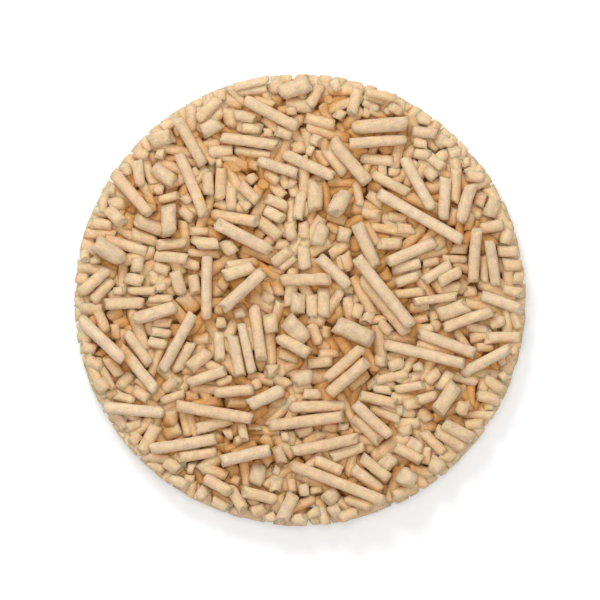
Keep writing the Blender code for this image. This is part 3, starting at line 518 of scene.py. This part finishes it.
def layUnder(plan, rim):
    # Each pellet takes the lowest of a few random places, and late ones are shorter
    chance = random.Random(plan["seed"])
    limit = lie["bedDiameter"] / 2 - plan["inset"]
    heap = Heap(lie["bedDiameter"] / 2, 0.0)
    for pellet in rim:
        heap.raiseOver(pellet)
    pellets = []
    for attempt in range(plan["tries"]):
        diameter = diameters[chance.choice(plan["kinds"])]
        longest = plan["longest"] * (1 - plan["shorterLate"] * attempt / plan["tries"])
        half = chance.uniform(plan["shortest"], longest) / 2
        best = None
        for _ in range(plan["spots"]):
            heading = chance.uniform(0, math.pi)
            bearing = chance.uniform(-math.pi, math.pi)
            far = (limit - diameter / 2) * math.sqrt(chance.random())
            x, y = far * math.cos(bearing), far * math.sin(bearing)
            pellet = pelletAt(x, y, heading, half, diameter, chance)
            endAtRim(pellet, limit)
            keepInside(pellet, limit)
            if pellet.span < plan["shortest"] / 2:
                continue
            pellet.z, pellet.slope = heap.rest(pellet, 0.0)
            top = pellet.z + pellet.radius + abs(pellet.slope) * pellet.span / 2
            if best is None or top < best[0]:
                best = top, pellet
        if best is None or best[0] > lie["coreDepth"] + plan["over"]:
            continue
        pellet = best[1]
        if pellet.z > pellet.radius + plan["sink"]:
            pellet.z -= plan["sink"]
        heap.raiseOver(pellet)
        pellets.append(pellet)
    return pellets


# Short pellets in the gaps that would still show what lies under, and others deeper there
gapPlan = {
    "seed": 29,
    "tries": 900,
    "spots": 14,
    "shortest": 0.0032,
    "longest": 0.0100,
    "kinds": ["slim", "plain", "plain", "plain", "stout", "stout", "fat"],
    "leastOpen": 0.22,
    "hiding": 1.5,
    "lowTop": 0.0058,
    "highTop": 0.0069,
    "lean": 0.16,
}
deepPlan = dict(gapPlan, seed=30, shortest=0.0030, longest=0.0080, leastOpen=0.05,
                hiding=0.0, lowTop=0.0047, highTop=0.0058)


def layInGaps(plan, shown):
    # Each pellet goes where the most of it would show, low enough to pass under the others
    chance = random.Random(plan["seed"])
    limit = lie["bedDiameter"] / 2
    heap = Heap(limit, 0.0)
    for pellet in shown:
        heap.raiseOver(pellet)
    reach = np.hypot(*np.meshgrid(heap.line, heap.line))
    heap.height[reach > limit] = 1.0
    pellets = []
    for _ in range(plan["tries"]):
        rows, columns = np.nonzero(heap.height == 0)
        if not len(rows):
            break
        diameter = diameters[chance.choice(plan["kinds"])]
        half = chance.uniform(plan["shortest"], plan["longest"]) / 2
        best = None
        for _ in range(plan["spots"]):
            pick = chance.randrange(len(rows))
            x, y = heap.line[columns[pick]], heap.line[rows[pick]]
            heading = chance.uniform(0, math.pi)
            pellet = pelletAt(x, y, heading, half, diameter, chance)
            endAtRim(pellet, limit)
            keepInside(pellet, limit)
            if pellet.span < plan["shortest"]:
                continue
            top = chance.uniform(plan["lowTop"], plan["highTop"])
            window, _, _, covered = heap.under(pellet, pellet.span / 2, pellet.radius)
            level = heap.height[window][covered]
            if not len(level):
                continue
            bare = np.mean(level == 0) - plan["hiding"] * np.mean((level > 0) & (level < top))
            if best is None or bare * pellet.span > best[0] * best[1].span:
                best = bare, pellet, top
        if best is None or best[0] < plan["leastOpen"]:
            continue
        pellet = best[1]
        pellet.slope = chance.uniform(-plan["lean"], plan["lean"])
        pellet.z = best[2] - pellet.radius
        heap.raiseOver(pellet)
        pellets.append(pellet)
    return pellets


print("filling in between and under them")
between = layInGaps(gapPlan, lower + standing + upper + loose)
deeper = layInGaps(deepPlan, between + lower + standing + upper + loose)
under = layUnder(underPlan, rim)
print(len(under), "pellets under,", len(deeper), "deep in gaps,", len(between), "between,",
      len(rim), "round the rim,", len(lower + standing + upper), "joined and", len(loose), "loose")

# The heap's smoothed top, from which the depth of each point is taken for the painted shade
skyline = {"reach": 0.0012, "deep": 0.0036, "rim": 0.0030, "ground": 0.0015}


def smoothedTop():
    heap = Heap(lie["bedDiameter"] / 2, 0.0)
    for pellet in deeper + between + lower + standing + upper + loose:
        heap.raiseOver(pellet)
    count = round(skyline["reach"] / lie["cell"])
    for gather in (np.max, np.mean):
        for axis in (0, 1):
            moved = [np.roll(heap.height, step, axis) for step in range(-count, count + 1)]
            heap.height = gather(moved, axis=0)
    return heap


heapTop = smoothedTop()

# How each sort of rod is shaped; shares are of its radius
plainRod = {"sides": 10, "cuts": 0, "lip": 0.10, "inset": 0.0, "chip": 0.7, "rough": 0.30,
            "taper": 0.2, "lumps": 0.1, "bend": 0.011, "oval": 0.05}
fineRod = {"sides": 16, "cuts": 5, "lip": 0.09, "inset": 0.34, "chip": 0.8, "rough": 0.32,
           "taper": 0.2, "lumps": 0.1, "bend": 0.013, "oval": 0.05}
hiddenRod = {"sides": 8, "cuts": 0, "lip": 0.0, "inset": 0.0, "chip": 0.2, "rough": 0.15,
             "taper": 0.1, "lumps": 0.0, "bend": 0.0, "oval": 0.04}


# Where its neck starts, its tone, and the limits of its chances
rod = {
    "neckThick": 0.9,
    "neckLong": 0.3,
    "capFacing": 0.9,
    "flatFacing": 0.95,
    "endDepth": 0.02,
    "brokenWide": 0.9,
    "spread": 60,
    "dullFrom": 0.0011,
    "dullOver": 0.0006,
    "dullShare": 0.75,
    "dullSpread": (-0.2, 0.3),
    "chipSpread": (-0.5, 1),
    "chipFrom": 0.5,
    "chipMiddle": 0.05,
    "chipNarrow": 3,
    "chipThins": 0.3,
    "lumpScale": 0.8,
    "bendRest": 0.4,
}


def rodShape(pellet, way, chance):
    # One rod along Z: a cone with rings, lipped and poked ends, then worn, chipped and bent
    radius = pellet.radius
    length = pellet.length()
    neck = min(radius * rod["neckThick"], length * rod["neckLong"])
    shape = bmesh.new()
    bmesh.ops.create_cone(shape, cap_ends=True, segments=way["sides"], radius1=radius,
                          radius2=radius, depth=length)
    span = length / 2 - neck
    levels = [-span, span]
    for cut in range(way["cuts"]):
        levels.append(span * (2 * (cut + 1) / (way["cuts"] + 1) - 1))
    for level in levels if way["lip"] else []:
        geometry = shape.verts[:] + shape.edges[:] + shape.faces[:]
        bmesh.ops.bisect_plane(shape, geom=geometry, plane_no=(0, 0, 1), plane_co=(0, 0, level))
    shape.normal_update()
    caps = [face for face in shape.faces if abs(face.normal.z) > rod["capFacing"]]
    for face in shape.faces:
        face.smooth = True
    if way["lip"]:
        rims = {edge for face in caps for edge in face.edges}
        bmesh.ops.bevel(shape, geom=list(rims), offset=radius * way["lip"], segments=1,
                        profile=0.5, affect="EDGES", material=-1)
        shape.normal_update()
        caps = [face for face in shape.faces if abs(face.normal.z) > rod["flatFacing"]]
    if way["inset"]:
        bmesh.ops.inset_individual(shape, faces=caps, thickness=radius * way["inset"])
        shape.normal_update()
        caps = [face for face in shape.faces if len(face.verts) == way["sides"]]
    bmesh.ops.poke(shape, faces=caps)

    # Place and tone of each point, read by the materials
    place = shape.verts.layers.float_vector.new("rodPlace")
    tone = shape.verts.layers.float_vector.new("rodTone")
    seedPlace = Vector([chance.uniform(-rod["spread"], rod["spread"]) for _ in range(3)])
    tint = chance.random()
    thick = max(0, (radius - rod["dullFrom"]) / rod["dullOver"])
    grey = min(1, thick * rod["dullShare"] + chance.uniform(*rod["dullSpread"]))
    bendWay = chance.uniform(-math.pi, math.pi)
    bend = length * way["bend"] * chance.uniform(-1, 1)
    oval = 1 + way["oval"] * chance.uniform(-1, 1)
    chipAt = [chance.uniform(-math.pi, math.pi) for _ in range(2)]
    chipSize = [max(0, chance.uniform(*rod["chipSpread"])) * way["chip"] for _ in range(2)]
    taper = [chance.random() ** 2 * way["taper"] for _ in range(2)]
    for vert in shape.verts:
        away = vert.co.xy.length / radius
        share = 2 * vert.co.z / length
        end = 1 if share > 0 else 0
        atEnd = abs(vert.co.z) > length / 2 - radius * rod["endDepth"]
        across, up = pellet.slants[end]
        deepest = radius * math.hypot(across, up)
        slide = across * vert.co.x + up * vert.co.y - math.copysign(deepest, share)
        vert[place] = vert.co / mm + seedPlace
        vert[tone] = (tint, grey, 1.0 if atEnd and away < rod["brokenWide"] else 0.0)
        lump = 1 + way["lumps"] * noise.noise(vert.co / mm * rod["lumpScale"] + seedPlace)
        beyond = max(0, abs(vert.co.z) - span) / neck
        lump -= taper[end] * beyond
        around = math.atan2(vert.co.y, vert.co.x)
        vert.co.z += slide * abs(share)
        if beyond > rod["chipFrom"] and away > rod["chipMiddle"]:
            chip = chipSize[end] * max(0, math.cos(around - chipAt[end])) ** rod["chipNarrow"]
            vert.co.z -= math.copysign(radius * chip, share)
            lump -= chip * rod["chipThins"]
        if atEnd:
            vert.co.z -= math.copysign(radius * way["rough"] * chance.random(), share)
        vert.co.x *= lump * oval
        vert.co.y *= lump / oval
        curve = bend * (share ** 2 - rod["bendRest"])
        vert.co.x += curve * math.cos(bendWay)
        vert.co.y += curve * math.sin(bendWay)
    return shape


def moulded(name, pellets, way, seed):
    # One mesh of rods, each in its place, with how deep in the heap each point lies, which sets the
    # painted shade
    chance = random.Random(seed)
    mesh = bpy.data.meshes.new(name)
    whole = bmesh.new()
    for pellet in pellets:
        shape = rodShape(pellet, way, chance)
        bmesh.ops.transform(shape, matrix=pellet.matrix(), verts=shape.verts)
        shape.to_mesh(mesh)
        shape.free()
        whole.from_mesh(mesh)
    depth = whole.verts.layers.float.new("rodDepth")
    middle = len(heapTop.line) // 2
    for vert in whole.verts:
        column, row = [min(2 * middle, middle + round(away / lie["cell"])) for away in vert.co.xy]
        below = min(1, max(0, (heapTop.height[row, column] - vert.co.z) / skyline["deep"]))
        inside = (lie["bedDiameter"] / 2 - vert.co.xy.length) / skyline["rim"]
        vert[depth] = below * min(1, max(0, min(inside, vert.co.z / skyline["ground"])))
    whole.to_mesh(mesh)
    whole.free()
    thing = bpy.data.objects.new(name, mesh)
    bpy.context.scene.collection.objects.link(thing)
    return thing


def addNode(tree, kind, **settings):
    node = tree.nodes.new(kind)
    for name, value in settings.items():
        setattr(node, name, value)
    return node


def addMath(tree, operation, first, second):
    node = addNode(tree, "ShaderNodeMath", operation=operation)
    for socket, value in zip(node.inputs, (first, second)):
        if isinstance(value, (int, float)):
            socket.default_value = value
        else:
            tree.links.new(value, socket)
    return node.outputs[0]


def addMix(tree, factor, first, second, blend="MIX"):
    node = addNode(tree, "ShaderNodeMix", data_type="RGBA", blend_type=blend)
    for socket, value in zip((node.inputs["Factor"], node.inputs[6], node.inputs[7]),
                             (factor, first, second)):
        if isinstance(value, (int, float, tuple)):
            socket.default_value = value
        else:
            tree.links.new(value, socket)
    return node.outputs[2]


def addRange(tree, value, low, high, outLow=0.0, outHigh=1.0):
    node = addNode(tree, "ShaderNodeMapRange")
    for socket, number in zip(list(node.inputs)[1:5], (low, high, outLow, outHigh)):
        socket.default_value = number
    tree.links.new(value, node.inputs[0])
    return node.outputs[0]


# Pressed fibre: noise sizes per mm on the pellet, ranges of noise, and strengths as shares
fibre = {
    "blotch": {"size": 0.7, "detail": 3, "share": 0.5},
    "streak": {"size": 1.5, "detail": 2, "share": 0.3},
    "grain": {"size": 4.5, "detail": 3, "share": 0.6},
    "drawnOut": (1.0, 1.0, 0.22),
    "middle": (0.3, 0.7),
    "brokenFrom": (0.35, 0.6),
    # The painted shade down between the pellets: its tint, and how fast it deepens
    "paintedShadeTint": (0.84, 0.62, 0.36, 1),
    "paintedShadeCurve": 3.0,
    "speckSpacing": 0.55,
    "speckSize": 0.045,
    "speckShare": 0.7,
    "branPlaces": [(0.0115, 0.0354), (0.0168, 0.0187), (-0.0067, -0.0226), (-0.0198, 0.0202),
                   (-0.0248, 0.0250)],
    "branSize": 0.00055,
    "branEdge": 0.6,
    "branShare": 0.8,
    "branRagged": (1.5, 0.7),
    "glossFrom": (0.2, 0.8),
    "roughness": (0.45, 0.65),
    "streakHeight": 0.6,
}


def fibreGroup(name):
    tree = bpy.data.node_groups.new(name, "ShaderNodeTree")
    for label in ("Cream", "Tan", "Dull", "Broken", "Speck", "Bran"):
        tree.interface.new_socket(label, in_out="INPUT", socket_type="NodeSocketColor")
    tree.interface.new_socket("Contrast", in_out="INPUT", socket_type="NodeSocketFloat")
    tree.interface.new_socket("Color", in_out="OUTPUT", socket_type="NodeSocketColor")
    tree.interface.new_socket("Roughness", in_out="OUTPUT", socket_type="NodeSocketFloat")
    tree.interface.new_socket("Height", in_out="OUTPUT", socket_type="NodeSocketFloat")
    given = addNode(tree, "NodeGroupInput").outputs
    place = addNode(tree, "ShaderNodeAttribute", attribute_name="rodPlace").outputs["Vector"]
    tone = addNode(tree, "ShaderNodeAttribute", attribute_name="rodTone").outputs["Vector"]
    parts = addNode(tree, "ShaderNodeSeparateXYZ")
    tree.links.new(tone, parts.inputs[0])
    tint, grey, broken = parts.outputs

    stretch = addNode(tree, "ShaderNodeMapping")
    stretch.inputs["Scale"].default_value = fibre["drawnOut"]
    tree.links.new(place, stretch.inputs["Vector"])
    noises = []
    strengths = []
    for kind, source in (("blotch", place), ("streak", stretch.outputs[0]), ("grain", place)):
        spread = addNode(tree, "ShaderNodeTexNoise")
        spread.inputs["Scale"].default_value = fibre[kind]["size"]
        spread.inputs["Detail"].default_value = fibre[kind]["detail"]
        tree.links.new(source, spread.inputs["Vector"])
        noises.append(spread.outputs["Fac"])
        share = fibre[kind]["share"]
        strengths.append(addRange(tree, noises[-1], *fibre["middle"], -share, share))
    _, streak, grain = noises

    colour = addMix(tree, tint, given["Cream"], given["Tan"])
    colour = addMix(tree, grey, colour, given["Dull"])
    mottle = addMath(tree, "ADD", strengths[0], addMath(tree, "ADD", *strengths[1:]))
    shade = addMath(tree, "MULTIPLY_ADD", mottle, given["Contrast"])
    shade.node.inputs[2].default_value = 1.0
    colour = addMix(tree, 1.0, colour, shade, "MULTIPLY")
    torn = addMath(tree, "MULTIPLY", broken, addRange(tree, grain, *fibre["brokenFrom"]))
    colour = addMix(tree, torn, colour, given["Broken"])

    # Painted shade: darker, warmer and stronger in colour down between the pellets, where shade falls
    depth = addNode(tree, "ShaderNodeAttribute", attribute_name="rodDepth").outputs["Fac"]
    depth = addMath(tree, "POWER", depth, fibre["paintedShadeCurve"])
    paintedShade = addMix(tree, depth, (1, 1, 1, 1), fibre["paintedShadeTint"])
    colour = addMix(tree, 1.0, colour, paintedShade, "MULTIPLY")

    # Sparse dark specks, and the few yellow flecks of bran
    cells = addNode(tree, "ShaderNodeTexVoronoi")
    cells.inputs["Scale"].default_value = fibre["speckSpacing"]
    tree.links.new(place, cells.inputs["Vector"])
    speck = addMath(tree, "LESS_THAN", cells.outputs["Distance"], fibre["speckSize"])
    speck = addMath(tree, "MULTIPLY", speck, fibre["speckShare"])
    colour = addMix(tree, speck, colour, given["Speck"])
    here = addNode(tree, "ShaderNodeTexCoord").outputs["Object"]
    flat = addNode(tree, "ShaderNodeVectorMath", operation="MULTIPLY")
    flat.inputs[1].default_value = (1, 1, 0)
    tree.links.new(here, flat.inputs[0])
    nearest = None
    for x, y in fibre["branPlaces"]:
        gap = addNode(tree, "ShaderNodeVectorMath", operation="DISTANCE")
        gap.inputs[1].default_value = (x, y, 0)
        tree.links.new(flat.outputs[0], gap.inputs[0])
        away = gap.outputs["Value"]
        nearest = away if nearest is None else addMath(tree, "MINIMUM", nearest, away)
    edge = addRange(tree, grain, *fibre["middle"], *fibre["branRagged"])
    ragged = addMath(tree, "MULTIPLY", nearest, edge)
    inner = fibre["branSize"] * fibre["branEdge"]
    bran = addRange(tree, ragged, fibre["branSize"], inner, 0.0, fibre["branShare"])
    colour = addMix(tree, bran, colour, given["Bran"])

    made = addNode(tree, "NodeGroupOutput")
    tree.links.new(colour, made.inputs["Color"])
    gloss = addRange(tree, grain, *fibre["glossFrom"], *fibre["roughness"])
    tree.links.new(gloss, made.inputs["Roughness"])
    height = addMath(tree, "MULTIPLY", streak, fibre["streakHeight"])
    height = addMath(tree, "ADD", grain, height)
    tree.links.new(height, made.inputs["Height"])
    return tree


pressed = fibreGroup("pressedFibre")

# Colours of each fibre; Contrast is how strongly it is mottled
looks = {
    "settledFibre": {"Cream": (0.83, 0.64, 0.42, 1), "Tan": (0.81, 0.58, 0.345, 1),
                     "Dull": (0.76, 0.58, 0.38, 1), "Broken": (0.86, 0.71, 0.50, 1),
                     "Speck": (0.30, 0.17, 0.08, 1), "Bran": (0.80, 0.50, 0.06, 1),
                     "Contrast": 0.20},
    "looseFibre": {"Cream": (0.82, 0.64, 0.435, 1), "Tan": (0.80, 0.575, 0.355, 1),
                   "Dull": (0.75, 0.575, 0.385, 1), "Broken": (0.88, 0.73, 0.53, 1),
                   "Speck": (0.30, 0.17, 0.08, 1), "Bran": (0.82, 0.52, 0.07, 1),
                   "Contrast": 0.20},
    # The deeper pellets: a warmer, darker copy of the settled fibre, painted shade
    "shadedDeepFibre": {"Cream": (0.85, 0.645, 0.42, 1), "Tan": (0.83, 0.585, 0.34, 1),
                  "Dull": (0.78, 0.59, 0.385, 1), "Broken": (0.84, 0.66, 0.44, 1),
                  "Speck": (0.27, 0.14, 0.06, 1), "Bran": (0.70, 0.42, 0.06, 1),
                  "Contrast": 0.22},
    # The sheet deep in the gaps: dark brown, painted shade between the pellets
    "finesShadeSheet": {"Cream": (0.36, 0.14, 0.025, 1), "Tan": (0.30, 0.10, 0.015, 1),
                    "Dull": (0.28, 0.11, 0.02, 1), "Broken": (0.50, 0.27, 0.09, 1),
                    "Speck": (0.20, 0.09, 0.03, 1), "Bran": (0.50, 0.28, 0.06, 1),
                    "Contrast": 0.25},
}


# What every fibre shares: its relief, and how light spreads in it
relief = {"Strength": 0.5, "Distance": 0.00008}
body = {
    "Specular IOR Level": 0.12,
    "Subsurface Weight": 0.55,
    "Subsurface Radius": (1.0, 0.38, 0.08),
    "Subsurface Scale": 0.0011,
}


def fibreMaterial(name, values):
    material = bpy.data.materials.new(name)
    material.use_nodes = True
    tree = material.node_tree
    shader = tree.nodes["Principled BSDF"]
    finish = addNode(tree, "ShaderNodeGroup", node_tree=pressed)
    bump = addNode(tree, "ShaderNodeBump")
    for node, settings in ((finish, values), (bump, relief), (shader, body)):
        for label, value in settings.items():
            node.inputs[label].default_value = value
    tree.links.new(finish.outputs["Height"], bump.inputs["Height"])
    tree.links.new(finish.outputs["Color"], shader.inputs["Base Color"])
    tree.links.new(finish.outputs["Roughness"], shader.inputs["Roughness"])
    tree.links.new(bump.outputs["Normal"], shader.inputs["Normal"])
    return material


settledFibre, looseFibre, shadedDeepFibre, finesShadeFibre = [fibreMaterial(*look) for look in looks.items()]

# A dark sheet of packed dust and crumbs, painted shade deep in the gaps
print("packing the fines")
finesShade = {"side": 0.00095, "low": 0.0012, "high": 0.0036, "cut": 56, "uneven": 0.0009,
         "grain": 420, "apart": (0.5, 47.2, 93.9)}


def finesShadeSheet():
    # Dust and crumbs packed between the pellets as a dark brown sheet, seen only deep in the gaps,
    # where its colour is painted shade
    reach = lie["bedDiameter"] / 2 - lie["coreInset"] - finesShade["side"]
    shape = bmesh.new()
    bmesh.ops.create_grid(shape, x_segments=finesShade["cut"], y_segments=finesShade["cut"], size=reach)
    extra = [vert for vert in shape.verts if vert.co.length > reach]
    bmesh.ops.delete(shape, geom=extra, context="VERTS")
    bmesh.ops.translate(shape, verts=shape.verts, vec=(0, 0, finesShade["low"]))
    raised = bmesh.ops.extrude_face_region(shape, geom=shape.faces[:])
    tops = [part for part in raised["geom"] if isinstance(part, bmesh.types.BMVert)]
    bmesh.ops.translate(shape, verts=tops, vec=(0, 0, finesShade["high"] - finesShade["low"]))
    place = shape.verts.layers.float_vector.new("rodPlace")
    tone = shape.verts.layers.float_vector.new("rodTone")
    # noise.noise repeats from run to run, which noise_vector does not
    for vert in shape.verts:
        spots = [vert.co * finesShade["grain"] + Vector((apart, 0, 0)) for apart in finesShade["apart"]]
        vert.co += Vector([noise.noise(spot) for spot in spots]) * finesShade["uneven"]
        vert.co.z = max(vert.co.z, finesShade["low"] / 2)
        vert[place] = vert.co / mm
        vert[tone] = (1.0, 0.0, 0.0)
    bmesh.ops.recalc_face_normals(shape, faces=shape.faces)
    mesh = bpy.data.meshes.new("finesShadeSheet")
    shape.to_mesh(mesh)
    shape.free()
    piece = bpy.data.objects.new("finesShadeSheet", mesh)
    bpy.context.scene.collection.objects.link(piece)
    return piece


finesShadePiece = finesShadeSheet()
finesShadePiece.data.materials.append(finesShadeFibre)
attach(finesShadePiece, "root")
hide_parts("litter_bed")

print("shaping the settled pellets")
settled = {"settledUnder": (under, hiddenRod, shadedDeepFibre),
           "settledRim": (rim, plainRod, settledFibre),
           "settledDeep": (deeper, plainRod, shadedDeepFibre),
           "settledBetween": (between, plainRod, shadedDeepFibre),
           "settledLower": (lower, plainRod, settledFibre),
           "settledUpright": (standing, fineRod, settledFibre),
           "settledUpper": (upper, fineRod, settledFibre)}
seeds = {"settled": 31, "loose": 100}
for seed, (name, (pellets, way, fibreLook)) in enumerate(settled.items(), seeds["settled"]):
    piece = moulded(name, pellets, way, seed)
    piece.data.materials.append(fibreLook)
    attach(piece, "root")
    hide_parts("litter_bed")

print("shaping the loose pellets")
for index, pellet in enumerate(loose, 1):
    piece = moulded("loosePellet%02d" % index, [pellet], fineRod, seeds["loose"] + index)
    piece.data.materials.append(looseFibre)
    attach(piece, "root")
    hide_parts("pellet_%02d" % index)

print("floor, light and camera")
studio = {
    "floorSide": 4.0,
    "floorDrop": 0.0001,
    "floorColor": (0.80, 0.80, 0.80, 1),
    "floorRoughness": 0.9,
    "floorGlow": 0.30,
    "skyLight": (0.43, 0.43, 0.43, 1),
    "keyPlace": (-0.14, 0.36, 0.44),
    "keySide": 0.18,
    "keyPower": 1.32,
    "fillPlace": (0.0, 0.03, 0.75),
    "fillSide": 0.26,
    "fillPower": 1.85,
    "cameraHeight": 1.508,
    "lens": 450,
}


def seenDirectly(tree):
    # 1 for what the camera sees straight, in a gloss or through glass
    rays = addNode(tree, "ShaderNodeLightPath").outputs
    seen = addMath(tree, "MAXIMUM", rays["Is Camera Ray"], rays["Is Glossy Ray"])
    return addMath(tree, "MAXIMUM", seen, rays["Is Transmission Ray"])


def paleFloor():
    shape = bmesh.new()
    bmesh.ops.create_grid(shape, x_segments=1, y_segments=1, size=studio["floorSide"] / 2)
    bmesh.ops.translate(shape, verts=shape.verts, vec=(0, 0, -studio["floorDrop"]))
    mesh = bpy.data.meshes.new("paleFloor")
    shape.to_mesh(mesh)
    shape.free()
    floor = bpy.data.objects.new("paleFloor", mesh)
    bpy.context.scene.collection.objects.link(floor)
    material = bpy.data.materials.new("paleFloor")
    material.use_nodes = True
    tree = material.node_tree
    shader = tree.nodes["Principled BSDF"]
    shader.inputs["Base Color"].default_value = studio["floorColor"]
    shader.inputs["Roughness"].default_value = studio["floorRoughness"]
    shader.inputs["Emission Color"].default_value = (1, 1, 1, 1)
    glow = addMath(tree, "MULTIPLY", seenDirectly(tree), studio["floorGlow"])
    tree.links.new(glow, shader.inputs["Emission Strength"])
    mesh.materials.append(material)


def paleSky():
    world = bpy.data.worlds.new("paleSky")
    bpy.context.scene.world = world
    world.use_nodes = True
    tree = world.node_tree
    shown = addMix(tree, seenDirectly(tree), studio["skyLight"], (1, 1, 1, 1))
    tree.links.new(shown, tree.nodes["Background"].inputs["Color"])


def softLamp(name):
    lamp = bpy.data.lights.new(name + "Lamp", "AREA")
    lamp.size = studio[name + "Side"]
    lamp.energy = studio[name + "Power"]
    place = Vector(studio[name + "Place"])
    holder = bpy.data.objects.new(name + "Lamp", lamp)
    holder.location = place
    holder.rotation_euler = (-place).to_track_quat("-Z", "Y").to_euler()
    holder.visible_camera = False
    bpy.context.scene.collection.objects.link(holder)


def overheadCamera():
    camera = bpy.data.cameras.new("overhead")
    camera.lens = studio["lens"]
    holder = bpy.data.objects.new("overhead", camera)
    holder.location = (0, 0, studio["cameraHeight"])
    bpy.context.scene.collection.objects.link(holder)
    bpy.context.scene.camera = holder


paleFloor()
paleSky()
softLamp("key")
softLamp("fill")
overheadCamera()
bpy.context.scene.view_settings.view_transform = "Standard"
